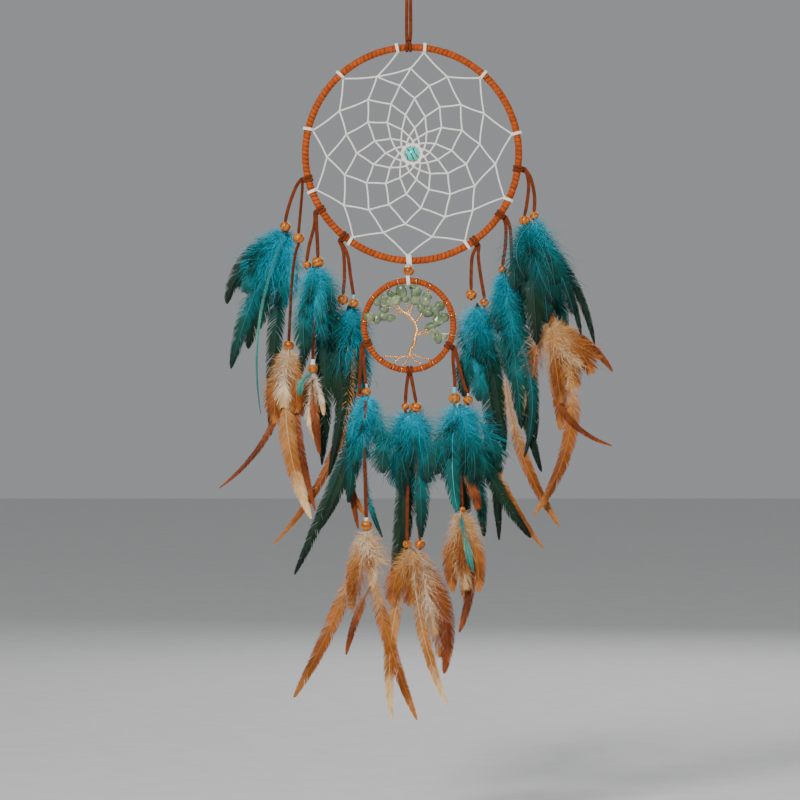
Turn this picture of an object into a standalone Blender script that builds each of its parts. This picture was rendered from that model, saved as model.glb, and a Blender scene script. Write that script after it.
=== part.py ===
"""Dream catcher: a web-filled hoop, a tree-of-life hoop and nine feathered lace tassels, hung from one lace.

The frame is +Z up, +Y away from the viewer and +X to the right. The origin is the inside top of the
hanging loop, where a nail or hook holds the whole piece. Sizes and points below are in millimetres,
and every mesh is written in metres.
"""

import math

import bmesh
import bpy
from mathutils import Vector

METRE = 0.001
GAP = 0.3

# Hoops: a steel core in a wound suede sleeve. Radii are to the core's centre line, or of a section.
HANG_DROP = 67.5
BIG_RADIUS = 80.0
BIG_OFFSET_X = 2.5
BIG_CORE = 1.5
BIG_WRAP = 2.6
SMALL_RADIUS = 33.5
SMALL_CORE = 1.2
SMALL_WRAP = 2.2
HOOP_SPACING = 15.0
WRAP_BREAK_DEG = 2.0
BIG_SEGMENTS = 48
SMALL_SEGMENTS = 36
SLEEVE_SIDES = 8

# Web: each round's loops hang from the middles of the loops before, down to a ring round the bead.
THREAD = 0.5
WEB_HITCHES_DEG = (6.7, 41.9, 78.7, 115.2, 148.7, 184.3, 215.2, 249.3, 283.3, 317.6, 351.8)
WEB_POINTS = len(WEB_HITCHES_DEG)
WEB_ROUNDS = (0.812, 0.656, 0.495, 0.333, 0.188, 0.096, 0.043, 0.0)
CENTER_BEAD = 5.2
CENTER_BEAD_HEIGHT = 9.4
CENTER_BEAD_CLEARANCE = 0.8

# Link between the hoops
LINK_CORD = 0.8
LINK_BEAD = 4.3
LINK_DEG = 181.8

# Laces, knots and beads
LACE = 1.0
LACE_SPREAD = 1.5
LACE_STEP = 8.0
PIVOT_REACH = 6.5
HANGER_SPREAD_DROP = 14.0
HANGER_TIP_SPREAD = 1.3
HITCH_STEP_DEG = 45.0
BEAD_BORE = LACE + GAP
BEAD_HEIGHT_SHARE = 0.78
BEAD_STATIONS = 4
LACE_END = 1.0
LOOP_RADIUS = 7.0
HANG_KNOT = (3.8, 2.8, 4.0)
HANG_DEG = 358.2

# Tree of life
WIRE = 0.45
TRUNK = 1.3
CHIP_DEPTH = 2.6

# Feathers: a bunch is lens-shaped in section, with thin edges
FEATHER_THICKNESS = 6.0
FEATHER_EDGE = 0.4

BIG_CENTER = Vector((BIG_OFFSET_X, 0.0, -HANG_DROP - BIG_RADIUS))
SMALL_CENTER = Vector((0.0, 0.0, BIG_CENTER.z - BIG_RADIUS - HOOP_SPACING - SMALL_RADIUS))


def material(name, colour, roughness, metallic=0.0):
    """A Principled material of one colour."""
    made = bpy.data.materials.get(name) or bpy.data.materials.new(name)
    made.use_nodes = True
    shader = made.node_tree.nodes["Principled BSDF"]
    shader.inputs["Base Color"].default_value = (*colour, 1.0)
    shader.inputs["Roughness"].default_value = roughness
    shader.inputs["Metallic"].default_value = metallic
    return made


SUEDE = material("rust_suede", (0.42, 0.10, 0.03), 0.9)
THREAD_CLOTH = material("ivory_thread", (0.85, 0.82, 0.74), 0.6)
STEEL = material("ring_steel", (0.5, 0.5, 0.5), 0.4, 1.0)
COPPER = material("copper_wire", (0.75, 0.45, 0.28), 0.3, 1.0)
WOOD = material("lacquered_wood", (0.50, 0.23, 0.06), 0.35)
TURQUOISE = material("turquoise", (0.10, 0.55, 0.52), 0.35)
STONE = material("sage_stone", (0.33, 0.42, 0.30), 0.4)
TEAL = material("teal_feather", (0.01, 0.20, 0.22), 0.8)
TAN = material("tan_feather", (0.50, 0.27, 0.13), 0.8)


# Building helpers


def add_object(name, bm, paint, origin=(0.0, 0.0, 0.0)):
    """Turns a bmesh in world millimetres into a named object whose origin is at the given point."""
    base = Vector(origin)
    for v in bm.verts:
        v.co = (v.co - base) * METRE
    bmesh.ops.recalc_face_normals(bm, faces=bm.faces[:])
    mesh = bpy.data.meshes.new(name)
    bm.to_mesh(mesh)
    bm.free()
    mesh.materials.append(paint)
    mesh.shade_smooth()
    mesh.set_sharp_from_angle(angle=math.radians(40))
    made = bpy.data.objects.new(name, mesh)
    made.location = base * METRE
    bpy.context.collection.objects.link(made)
    return made


def bridge(bm, loops, closed):
    """Joins rings of points into a tube; an open tube gets a cap at each end."""
    rows = [[bm.verts.new(p) for p in loop] for loop in loops]
    count = len(rows[0])
    pairs = list(zip(rows, rows[1:]))
    if closed:
        pairs.append((rows[-1], rows[0]))
    for a, b in pairs:
        for i in range(count):
            j = (i + 1) % count
            bm.faces.new((a[i], a[j], b[j], b[i]))
    if not closed:
        bm.faces.new(rows[0])
        bm.faces.new(rows[-1])
    return rows


def section(center, across, up, radius, sides):
    """A ring of points around center in the plane of two unit directions."""
    steps = [math.tau * (i + 0.5) / sides for i in range(sides)]
    return [center + (across * math.cos(a) + up * math.sin(a)) * radius for a in steps]


def add_tube(bm, points, radius, sides=4):
    """A closed tube along a route of points, with flat ends."""
    points = [Vector(p) for p in points]
    across = None
    loops = []
    for i, p in enumerate(points):
        ahead = (points[min(i + 1, len(points) - 1)] - points[max(i - 1, 0)]).normalized()
        if across is None:
            side = Vector((0, 1, 0)) if abs(ahead.y) < 0.9 else Vector((1, 0, 0))
            across = side.cross(ahead).normalized()
        across = (across - ahead * across.dot(ahead)).normalized()
        loops.append(section(p, across, ahead.cross(across), radius, sides))
    bridge(bm, loops, closed=False)


def add_ring(bm, center, across, up, ring_radius, radius, segments=8, sides=4):
    """A ring of round section lying in the plane of two unit directions."""
    normal = across.cross(up)
    loops = []
    for i in range(segments):
        angle = math.tau * i / segments
        out = across * math.cos(angle) + up * math.sin(angle)
        loops.append(section(center + out * ring_radius, out, normal, radius, sides))
    bridge(bm, loops, closed=True)


def unite(target, others, operation="UNION"):
    """Joins the other objects' solids to the target, or cuts them from it, and removes them."""
    for other in others:
        cut = target.modifiers.new(operation.lower(), "BOOLEAN")
        cut.operation = operation
        cut.object = other
        cut.solver = "EXACT"
        cut.use_self = True
    graph = bpy.context.evaluated_depsgraph_get()
    solid = bpy.data.meshes.new_from_object(target.evaluated_get(graph))
    target.modifiers.clear()
    target.data = solid
    for other in others:
        bpy.data.objects.remove(other)
    return target


def smooth_route(points, spacing):
    """Points at about the given spacing along a smooth curve through the route's own points."""
    knots = [Vector(p) for p in points]
    knots = [knots[0] * 2 - knots[1], *knots, knots[-1] * 2 - knots[-2]]
    route = []
    for a, b, c, d in zip(knots, knots[1:], knots[2:], knots[3:]):
        steps = max(1, round((c - b).length / spacing))
        for n in range(steps):
            t = n / steps
            route.append(
                0.5
                * (
                    2 * b
                    + (c - a) * t
                    + (2 * a - 5 * b + 4 * c - d) * t**2
                    + (3 * b - a - 3 * c + d) * t**3
                )
            )
    route.append(knots[-2])
    return route


def add_cord(name, points, radius, paint, origin):
    """A round cord as a curve with a bevel and filled caps along the points."""
    curve = bpy.data.curves.new(name, "CURVE")
    curve.dimensions = "3D"
    curve.resolution_u = 1
    curve.render_resolution_u = 0
    curve.bevel_depth = radius * METRE
    curve.bevel_resolution = 2
    curve.use_fill_caps = True
    curve.materials.append(paint)
    base = Vector(origin)
    spline = curve.splines.new("POLY")
    spline.points.add(len(points) - 1)
    for place, p in zip(spline.points, points):
        place.co = (*((Vector(p) - base) * METRE), 1.0)
    spline.use_smooth = True
    made = bpy.data.objects.new(name, curve)
    made.location = base * METRE
    bpy.context.collection.objects.link(made)
    return made


# Places on a hoop, at an angle measured clockwise from its top


def outward(degrees):
    angle = math.radians(degrees)
    return Vector((math.sin(angle), 0.0, math.cos(angle)))


def along(degrees):
    angle = math.radians(degrees)
    return Vector((math.cos(angle), 0.0, -math.sin(angle)))


DEPTH = Vector((0.0, 1.0, 0.0))


def hoop_parts(name, center, radius, core, wrap, segments):
    """The steel ring and its suede sleeve, whose two ends meet short of each other at the top."""
    bm = bmesh.new()
    add_ring(bm, center, outward(90), outward(0), radius, core, segments, 6)
    add_object(f"{name}_core", bm, STEEL, center)
    bm = bmesh.new()
    span = 360.0 - WRAP_BREAK_DEG
    turns = [HANG_DEG + WRAP_BREAK_DEG / 2 + span * i / segments for i in range(segments + 1)]
    shells = []
    for size in (wrap, core + GAP):
        loops = [
            section(center + outward(a) * radius, outward(a), DEPTH, size, SLEEVE_SIDES)
            for a in turns
        ]
        shells.append([[bm.verts.new(p) for p in loop] for loop in loops])
    for rows in shells:
        for a, b in zip(rows, rows[1:]):
            for i in range(SLEEVE_SIDES):
                j = (i + 1) % SLEEVE_SIDES
                bm.faces.new((a[i], a[j], b[j], b[i]))
    for end in (0, -1):
        outer, inner = shells[0][end], shells[1][end]
        for i in range(SLEEVE_SIDES):
            j = (i + 1) % SLEEVE_SIDES
            bm.faces.new((outer[i], outer[j], inner[j], inner[i]))
    add_object(f"{name}_wrap", bm, SUEDE, center)


def web_nodes():
    """The web's crossings, round by round: the hitches on the hoop first, then each round's middles."""
    tip = BIG_RADIUS - BIG_WRAP - GAP - THREAD
    inner = CENTER_BEAD + CENTER_BEAD_CLEARANCE + THREAD
    angles = list(WEB_HITCHES_DEG)
    rounds = [(tip, angles)]
    for share in WEB_ROUNDS:
        following = angles[1:] + [angles[0] + 360.0]
        angles = [(a + b) / 2 for a, b in zip(angles, following)]
        rounds.append((inner + (tip - inner) * share, angles))
    return rounds


def make_web():
    """The thread net with its hitches round the hoop and the strand through the centre bead."""
    rounds = web_nodes()
    bm = bmesh.new()
    grid = [[bm.verts.new(BIG_CENTER + outward(a) * r) for a in row] for r, row in rounds]
    last = WEB_POINTS - 1
    for k in range(len(grid) - 2):
        for i in range(WEB_POINTS):
            left, right = grid[k + 1][i - 1], grid[k + 1][i]
            if k == 0 and i == last:
                bm.faces.new((left, grid[2][i - 1], right))
            else:
                bm.faces.new((grid[k][i], left, grid[k + 2][i - 1], right))
    for i in range(WEB_POINTS):
        bm.faces.new((grid[-2][i], grid[-1][i - 1], grid[-1][i]))
    web = add_object("web_thread", bm, THREAD_CLOTH, BIG_CENTER)
    net = web.modifiers.new("net", "WIREFRAME")
    net.thickness = 2 * THREAD * METRE
    net.use_boundary = True
    net.use_replace = True
    net.use_even_offset = True

    bm = bmesh.new()
    for a in rounds[0][1]:
        at = BIG_CENTER + outward(a) * BIG_RADIUS
        add_ring(bm, at, outward(a), DEPTH, BIG_WRAP + GAP + THREAD, THREAD)
    tip_radius, tip_angles = rounds[0]
    first_radius, first_angles = rounds[1]
    start = BIG_CENTER + outward(tip_angles[last]) * tip_radius
    end = BIG_CENTER + outward(first_angles[last - 1]) * first_radius
    add_tube(bm, [start, end], THREAD)
    inner_radius = rounds[-1][0]
    top, bottom = outward(0) * inner_radius, outward(180) * inner_radius
    add_tube(bm, [BIG_CENTER + top, BIG_CENTER + bottom], THREAD)
    unite(web, [add_object("web_hitches", bm, THREAD_CLOTH, BIG_CENTER)])


def make_bead(name, center, radius, bore, height, paint, segments=10):
    """A round bead turned about a vertical bore, with its ends cut flat."""
    half = height / 2
    profile = [(bore, -half)]
    for i in range(BEAD_STATIONS + 1):
        z = -half + height * i / BEAD_STATIONS
        around = radius * math.sqrt(1 - (BEAD_HEIGHT_SHARE * z / half) ** 2)
        profile.append((max(around, bore + GAP), z))
    profile.append((bore, half))
    bm = bmesh.new()
    loops = []
    for i in range(segments):
        out = outward(90) * math.cos(math.tau * i / segments)
        out = out + DEPTH * math.sin(math.tau * i / segments)
        loops.append([center + out * r + Vector((0, 0, z)) for r, z in profile])
    bridge(bm, loops, closed=True)
    return add_object(name, bm, paint, center)


def make_link():
    """The doubled cord round both hoops with its bead between them."""
    top = BIG_CENTER + outward(LINK_DEG) * BIG_RADIUS
    bottom = SMALL_CENTER + outward(0) * SMALL_RADIUS
    top.x = bottom.x
    big_ring = BIG_WRAP + GAP + LINK_CORD
    small_ring = SMALL_WRAP + GAP + LINK_CORD
    bm = bmesh.new()
    add_ring(bm, top, DEPTH, outward(0), big_ring, LINK_CORD, 12, 6)
    cord = add_object("link_cord", bm, THREAD_CLOTH, top)
    bm = bmesh.new()
    add_ring(bm, bottom, DEPTH, outward(0), small_ring, LINK_CORD, 12, 6)
    lower = add_object("link_lower", bm, THREAD_CLOTH, top)
    bm = bmesh.new()
    high, low = top.z - big_ring, bottom.z + small_ring
    add_tube(bm, [(top.x, 0, high), (top.x, 0, low)], LINK_CORD, 6)
    unite(cord, [lower, add_object("link_strand", bm, THREAD_CLOTH, top)])
    room_top = high - LINK_CORD - GAP
    room_bottom = low + LINK_CORD + GAP
    center = Vector((top.x, 0, (room_top + room_bottom) / 2))
    height = room_top - room_bottom
    make_bead("link_bead", center, LINK_BEAD, LINK_CORD + GAP, height, WOOD)


# Lace hitches: a lark's head drawn round the hoop, then two strands side by side


def hitch_half(at, degrees, wrap, side):
    """One half of the hitch, from where its strand leaves it, round the hoop, to the crossing in front."""
    reach = (wrap + GAP) / math.cos(math.radians(HITCH_STEP_DEG / 2)) + LACE
    route = (
        (LACE_SPREAD, reach + 3.2, -0.5),
        (LACE_SPREAD, reach + 1.4, 0.8),
        (1.7, 0.78 * reach, 0.78 * reach),
        (1.9, 0.0, reach),
        (2.0, -0.71 * reach, 0.71 * reach),
        (2.1, -reach, 0.0),
        (2.2, -0.71 * reach, -0.71 * reach),
        (2.3, 0.0, -reach),
        (2.2, 0.71 * reach, -reach - 0.2),
        (1.2, reach + 0.3, -reach - 0.3),
    )
    tangent, out = along(degrees), outward(degrees)
    return [at + tangent * (side * t) + out * n + DEPTH * y for t, n, y in route]


def hitch_point(hoop, degrees):
    center, radius = (BIG_CENTER, BIG_RADIUS) if hoop == "big" else (SMALL_CENTER, SMALL_RADIUS)
    return center + outward(degrees) * radius


def folded_lace(name, hoop, degrees, first, second, origin):
    """A lace hitched at its middle: up the first strand, round the hoop and down the second one."""
    wrap = BIG_WRAP if hoop == "big" else SMALL_WRAP
    at = hitch_point(hoop, degrees)
    side = -1 if along(degrees).x > 0 else 1
    going = [at + Vector(p) for p in reversed(first)]
    coming = [at + Vector(p) for p in second]
    up = hitch_half(at, degrees, wrap, side)
    down = list(reversed(hitch_half(at, degrees, wrap, -side)))
    route = smooth_route([*going, up[0]], LACE_STEP)[:-1]
    route += [*up, *down]
    route += smooth_route([down[-1], *coming], LACE_STEP)[1:]
    return add_cord(name, route, LACE, SUEDE, origin)


def make_hanger():
    """The nail loop with its knot, and the doubled lace down to the hoop."""
    loop_center = Vector((0, 0, LACE - LOOP_RADIUS))
    knot_center = Vector((0, 0, loop_center.z - LOOP_RADIUS - HANG_KNOT[2] + LACE))
    bm = bmesh.new()
    add_ring(bm, loop_center, outward(90), outward(0), LOOP_RADIUS, LACE, 16, 8)
    loop = add_object("hanging_loop", bm, SUEDE)
    bm = bmesh.new()
    bmesh.ops.create_uvsphere(bm, u_segments=10, v_segments=6, radius=1.0)
    for v in bm.verts:
        v.co = Vector(a * b for a, b in zip(v.co, HANG_KNOT)) + knot_center
    unite(loop, [add_object("hanging_knot", bm, SUEDE)])
    at = hitch_point("big", HANG_DEG)
    start = knot_center.z - HANG_KNOT[2] - GAP - at.z
    strands = []
    for side in (-1, 1):
        spread = (side * LACE_SPREAD, -0.5, HANGER_SPREAD_DROP)
        strands.append([spread, (side * HANGER_TIP_SPREAD, 0.0, start)])
    folded_lace("hanging_lace", "big", HANG_DEG, *strands, (0, 0, 0))


# Tassels: hoop, place on it, and each strand's points from the hitch. A bead is (strand point, radius).
TASSELS = {
    "left_outer": {
        "hoop": "big",
        "at": 256.6,
        "strands": (
            [(-9, -1, -6), (-14, -1, -19), (-16.5, -1, -31), (-17.2, -1, -36.5)],
            [
                (-4.5, -1, -9),
                (-6, -1, -27),
                (-7.2, -1, -44.6),
                (-9.5, -2, -56),
                (-12, -2.5, -75),
                (-13.6, -2, -103),
                (-14.5, -2, -125.5),
            ],
        ),
        "beads": ((0, -36.0, 4.1), (1, -44.6, 4.3), (1, -125.0, 4.0)),
    },
    "left_middle": {
        "hoop": "big",
        "at": 238.6,
        "strands": (
            [(-5, -0.5, -12), (-8.8, -0.5, -27), (-10.6, -0.5, -41.7)],
            [
                (-3.2, -1, -14),
                (-2.5, -1, -28),
                (-2.3, -1.5, -39.5),
                (-3.6, -3, -60),
                (-5.5, -3, -95),
                (-6, -3, -119.8),
            ],
        ),
        "beads": ((0, -41.5, 3.3), (1, -39.5, 4.5), (1, -119.6, 3.8)),
    },
    "left_inner": {
        "hoop": "big",
        "at": 219.5,
        "strands": (
            [(-0.5, -0.5, -12), (0.2, -0.5, -30), (-0.8, -0.5, -47.5)],
            [(2.5, -0.5, -14), (4.8, -0.5, -30), (7.3, -0.5, -50.3)],
        ),
        "beads": ((0, -47.2, 4.1), (1, -50.0, 3.6)),
    },
    "right_outer": {
        "hoop": "big",
        "at": 97.9,
        "strands": (
            [(7, -0.5, -4), (8.2, -0.5, -14), (6.6, -0.5, -28), (5.2, -0.5, -39.2)],
            [
                (9.6, -1, -7),
                (12.5, -1, -20),
                (12.4, -1, -35.4),
                (17, -3, -55),
                (21.5, -3, -80),
                (23.8, -3, -111.8),
            ],
        ),
        "beads": ((0, -39.0, 4.1), (1, -35.4, 3.5), (1, -111.6, 3.9)),
    },
    "right_middle": {
        "hoop": "big",
        "at": 124.5,
        "strands": (
            [(4.5, -0.5, -10), (4, -0.5, -24), (2, -0.5, -41.6)],
            [(7.5, -0.5, -10), (8.5, -0.5, -24), (9.2, -0.5, -43)],
        ),
        "beads": ((0, -41.4, 3.2),),
    },
    "right_inner": {
        "hoop": "big",
        "at": 144.3,
        "strands": (
            [(-1.5, -0.5, -12), (-2.4, -0.5, -27), (-2.3, -0.5, -40.8)],
            [(3, -0.5, -12), (5, -0.5, -28), (7.6, -0.5, -46.4)],
        ),
        "beads": ((0, -40.5, 4.2), (1, -46.2, 3.4)),
    },
    "lower_left": {
        "hoop": "small",
        "at": 246.6,
        "strands": (
            [(-5, -0.5, -11), (-5.8, -0.5, -25), (-6.2, -0.5, -40.5)],
            [
                (-2.8, -1, -12),
                (-2, -1.5, -24),
                (-0.9, -2, -36.6),
                (-1.4, -5.4, -45),
                (-2, -6, -58),
                (-2.2, -6, -80),
                (-1.6, -6, -110),
                (-0.9, -5, -137),
            ],
        ),
        "beads": ((1, -36.6, 3.4), (1, -136.7, 4.3)),
    },
    "lower_middle": {
        "hoop": "small",
        "at": 179.0,
        "strands": (
            [
                (-2.4, -0.5, -14),
                (-3, -1.5, -27.3),
                (-2.2, -5.5, -40),
                (-1.2, -7.5, -75),
                (-1.6, -8, -104),
                (-1.8, -8, -130.4),
            ],
            [
                (3.0, -0.5, -14),
                (4.8, -1.5, -28),
                (5, -5.5, -40),
                (5.2, -7.5, -75),
                (6.6, -8, -106),
                (7.9, -8, -130.6),
            ],
        ),
        "beads": ((0, -27.3, 3.0), (1, -28.0, 4.3), (0, -130.2, 3.3), (1, -130.4, 4.0)),
    },
    "lower_right": {
        "hoop": "small",
        "at": 116.8,
        "strands": (
            [
                (3.4, -0.5, -12),
                (4.7, -0.5, -28),
                (4.3, -1.5, -39.8),
                (5.2, -6, -52),
                (8, -7.5, -85),
                (10, -7.5, -123),
            ],
            [(7, -0.5, -12), (11, -0.5, -27), (14.6, -0.5, -41.2)],
        ),
        "beads": ((0, -39.8, 4.5), (1, -41.0, 3.7), (0, -122.8, 2.6)),
    },
}

# Feather bunches: a spine of (x, y, z, half width) from the tassel's hitch, root first.
FEATHERS = {
    "left_outer_feathers_upper": (
        "left_outer",
        TEAL,
        [
            (-17, 5.5, -43, 4),
            (-29, 6, -57, 17),
            (-34, 6, -80, 20),
            (-38, 6, -102, 15),
            (-37, 6, -128, 12),
            (-31, 6, -166, 6),
            (-28, 6, -193, 2),
        ],
    ),
    "left_outer_feathers_lower": (
        "left_outer",
        TAN,
        [
            (-15, -3, -132, 2.5),
            (-17, -4, -148, 9),
            (-22, -4, -175, 14),
            (-32, -4, -196, 32),
            (-10, -4, -232, 9),
            (-3, -4, -254, 3),
        ],
    ),
    "left_middle_feathers": (
        "left_middle",
        TEAL,
        [
            (-5, 5.5, -47, 4),
            (-3, 6, -68, 15),
            (0, 6, -98, 14),
            (0.5, 6, -128, 13),
            (0.5, 6, -158, 8),
            (1, 6, -192, 2),
        ],
    ),
    "left_inner_feathers": (
        "left_inner",
        TEAL,
        [
            (3, 7, -58, 4),
            (5, 8, -74, 9),
            (4, 8, -100, 9),
            (1, 8, -138, 9),
            (-5, 8, -176, 10),
            (-22, 8, -209, 8),
            (-52, 8, -230, 2.5),
        ],
    ),
    "right_outer_feathers_upper": (
        "right_outer",
        TEAL,
        [
            (9, 6, -46, 4),
            (15, 6, -64, 18),
            (20, 6, -90, 20),
            (32, 6, -113, 20),
            (47, 6, -133, 8),
        ],
    ),
    "right_outer_feathers_lower": (
        "right_outer",
        TAN,
        [
            (25.5, -4, -118, 3),
            (32, -4, -137, 14),
            (33, -4, -166, 14),
            (45, -4, -196, 24),
            (26, -4, -226, 6),
            (12, -4, -260, 2.5),
        ],
    ),
    "right_middle_feathers": (
        "right_middle",
        TEAL,
        [
            (2, -4, -48, 4),
            (9, -4, -72, 12),
            (15, -4, -100, 10),
            (22, -4, -139, 8),
            (26, -4, -168, 5),
            (29, -4, -192, 2),
        ],
    ),
    "right_inner_feathers": (
        "right_inner",
        TEAL,
        [
            (4, 7, -53, 4),
            (7, 8, -73, 14),
            (11, 8, -96, 14),
            (19, 8, -125, 15),
            (37, 8, -162, 15),
            (48, 8, -192, 10),
            (56, 8, -227, 3),
        ],
    ),
    "lower_left_feathers_upper": (
        "lower_left",
        TEAL,
        [
            (-1, 0.8, -43, 2.5),
            (1, 0.8, -60, 9),
            (-2, 0.8, -80, 12),
            (-7, 0.8, -102, 13),
            (-24, 0.8, -132, 10),
            (-53, 0.8, -173, 2.5),
        ],
    ),
    "lower_left_feathers_lower": (
        "lower_left",
        TAN,
        [
            (-1, -6.8, -143.5, 3),
            (-3, -6.8, -163, 9),
            (-6, -6.8, -193, 15),
            (-17, -6.8, -223, 13),
            (-37, -6.8, -242, 8),
            (-53, -6.8, -263, 3),
        ],
    ),
    "lower_middle_feathers_upper": (
        "lower_middle",
        TEAL,
        [
            (1, 0.8, -35.5, 5),
            (-1, 0.8, -53, 16),
            (-1, 0.8, -76, 16),
            (-2, 0.8, -106, 13),
            (-5, 0.8, -143, 6),
            (-7, 0.8, -155, 2),
        ],
    ),
    "lower_middle_feathers_lower": (
        "lower_middle",
        TAN,
        [
            (3, -6.8, -137.5, 5),
            (0, -6.8, -158, 15),
            (-2, -6.8, -188, 15),
            (-2, -6.8, -218, 14),
            (2, -6.8, -247, 7),
            (6, -6.8, -262, 2.5),
        ],
    ),
    "lower_right_feathers_upper": (
        "lower_right",
        TEAL,
        [
            (9.5, 0.8, -48, 5),
            (11, 0.8, -67, 19),
            (12, 0.8, -93, 19),
            (17, 0.8, -121, 14),
            (28, 0.8, -148, 4),
        ],
    ),
    "lower_right_feathers_lower": (
        "lower_right",
        TAN,
        [
            (10.5, -6.8, -128, 3),
            (13, -6.8, -146, 14),
            (16, -6.8, -168, 16),
            (14, -6.8, -190, 12),
            (5, -6.8, -220, 8),
            (-2, -6.8, -243, 2.5),
        ],
    ),
}


def point_at_height(points, z):
    """The place on a strand's own points at a height, between the two points around it."""
    for a, b in zip(points, points[1:]):
        if b[2] <= z <= a[2]:
            share = (z - a[2]) / (b[2] - a[2])
            return Vector(a).lerp(Vector(b), share)
    return Vector(points[-1])


def pivot_of(tassel):
    """Where a tassel's strands leave its hitch, which is what it swings about."""
    at = hitch_point(tassel["hoop"], tassel["at"])
    return at + outward(tassel["at"]) * PIVOT_REACH


def threaded(points, beads):
    """A strand's points, made plumb through each of its beads, and running just past the last one."""
    route = [Vector(p) for p in points]
    for z, radius in beads:
        center = point_at_height(points, z)
        reach = Vector((0, 0, radius * BEAD_HEIGHT_SHARE + LACE_END))
        route = [p for p in route if abs(p.z - z) > 2 * reach.z]
        above = sum(p.z > z for p in route)
        route[above:above] = [center + reach, center, center - reach]
    return route


def make_tassel(name, tassel):
    """The folded lace and its beads."""
    pivot = pivot_of(tassel)
    at = hitch_point(tassel["hoop"], tassel["at"])
    strands = []
    for side, points in enumerate(tassel["strands"]):
        strands.append(threaded(points, [(z, r) for s, z, r in tassel["beads"] if s == side]))
    folded_lace(f"{name}_lace", tassel["hoop"], tassel["at"], *strands, pivot)
    for number, (strand, z, radius) in enumerate(tassel["beads"], 1):
        center = at + point_at_height(tassel["strands"][strand], z)
        height = 2 * radius * BEAD_HEIGHT_SHARE
        make_bead(f"{name}_bead_{number}", center, radius, BEAD_BORE, height, WOOD)


def make_feathers(name, tassel, paint, spine):
    """A soft bunch as one closed solid, lens-shaped in section, wide in the middle and narrow at its ends."""
    at = hitch_point(tassel["hoop"], tassel["at"])
    thick = FEATHER_THICKNESS / 2
    bm = bmesh.new()
    loops = []
    for x, y, z, half in spine:
        depth = min(thick, half)
        outline = (
            (-half, -FEATHER_EDGE),
            (-0.5 * half, -depth),
            (0.5 * half, -depth),
            (half, -FEATHER_EDGE),
            (half, FEATHER_EDGE),
            (0.5 * half, depth),
            (-0.5 * half, depth),
            (-half, FEATHER_EDGE),
        )
        loops.append([at + Vector((x + a, y + b, z)) for a, b in outline])
    bridge(bm, loops, closed=False)
    return add_object(name, bm, paint, pivot_of(tassel))


# Tree of life: wires from the trunk through the stone chips to the hoop, in mm from its centre.
TRUNK_LINE = [
    (0.3, -23.5),
    (0.8, -20.6),
    (3.7, -14.5),
    (4.9, -8.3),
    (6.1, -3.5),
    (4.3, 1.7),
    (0.8, 6.2),
    (-2.9, 9.2),
]
BRANCHES = {
    "left": (275.0, [(-2.9, 9.2), (-7.5, 9.5), (-13.2, 5.5), (-19.2, 6.2), (-25.0, 5.0)]),
    "upper_left": (308.0, [(-2.9, 9.2), (-8.5, 12.5), (-15.5, 13.5), (-20.5, 14.5)]),
    "high_left": (332.0, [(-2.9, 9.2), (-8.5, 14.5), (-12.3, 19.5), (-12.8, 23.0)]),
    "high": (346.0, [(0.8, 6.2), (-1.0, 14.0), (-3.5, 20.0), (-5.0, 25.5)]),
    "middle": (10.0, [(0.8, 6.2), (1.8, 11.7), (4.4, 19.7), (5.0, 25.4)]),
    "high_right": (28.0, [(4.3, 1.7), (9.0, 7.0), (10.5, 13.0), (12.8, 18.5), (14.0, 23.0)]),
    "right": (60.0, [(4.3, 1.7), (9.5, 7.5), (15.0, 9.6), (20.5, 11.5)]),
    "low_right": (77.0, [(4.9, -8.3), (11.0, -4.5), (17.5, -0.6), (22.5, 3.6)]),
    "lower_right": (103.0, [(4.9, -8.3), (13.0, -5.5), (18.3, -5.8), (22.5, -7.5)]),
}
ROOTS = {
    "left": (219.0, [(0.3, -22.5), (-6.6, -23.8), (-16.0, -23.5)]),
    "low_left": (200.5, [(0.3, -22.5), (-6.6, -24.5), (-9.5, -27.0)]),
    "low": (189.0, [(0.3, -22.5), (-2.2, -28.0)]),
    "low_right": (162.4, [(0.8, -21.0), (4.5, -26.5), (8.5, -28.5)]),
    "right": (147.0, [(0.8, -21.0), (8.5, -24.0), (14.5, -25.5)]),
}
CHIPS = {
    "left": ("left", [(-13.2, 5.5), (-19.2, 6.2), (-25.0, 5.0)]),
    "top": ("middle", [(4.4, 19.7), (5.0, 25.4)]),
    "right": ("right", [(15.0, 9.6), (20.5, 11.5)]),
}
CHIP_HALF_WIDTH = 3.8


def wire_route(turn, points):
    """A wire's points in the hoop's plane, ending where its own wrap round the hoop begins."""
    reach = SMALL_RADIUS - SMALL_WRAP - GAP - WIRE
    route = [SMALL_CENTER + Vector((x, 0, z)) for x, z in points]
    return [*route, SMALL_CENTER + outward(turn) * reach]


def make_tree():
    """Trunk, branches and roots of wire, each wire wrapped once round the hoop."""
    bm = bmesh.new()
    add_tube(bm, [SMALL_CENTER + Vector((x, 0, z)) for x, z in TRUNK_LINE], TRUNK, 8)
    tree = add_object("tree_wire", bm, COPPER, SMALL_CENTER)
    wires = []
    for kind, lines in (("branch", BRANCHES), ("root", ROOTS)):
        for name, (turn, points) in lines.items():
            bm = bmesh.new()
            add_tube(bm, wire_route(turn, points), WIRE)
            at = SMALL_CENTER + outward(turn) * SMALL_RADIUS
            wires.append(add_object(f"{kind}_{name}", bm, COPPER, SMALL_CENTER))
            bm = bmesh.new()
            add_ring(bm, at, outward(turn), DEPTH, SMALL_WRAP + GAP + WIRE, WIRE)
            wires.append(add_object(f"{kind}_{name}_wrap", bm, COPPER, SMALL_CENTER))
    unite(tree, wires)


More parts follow.
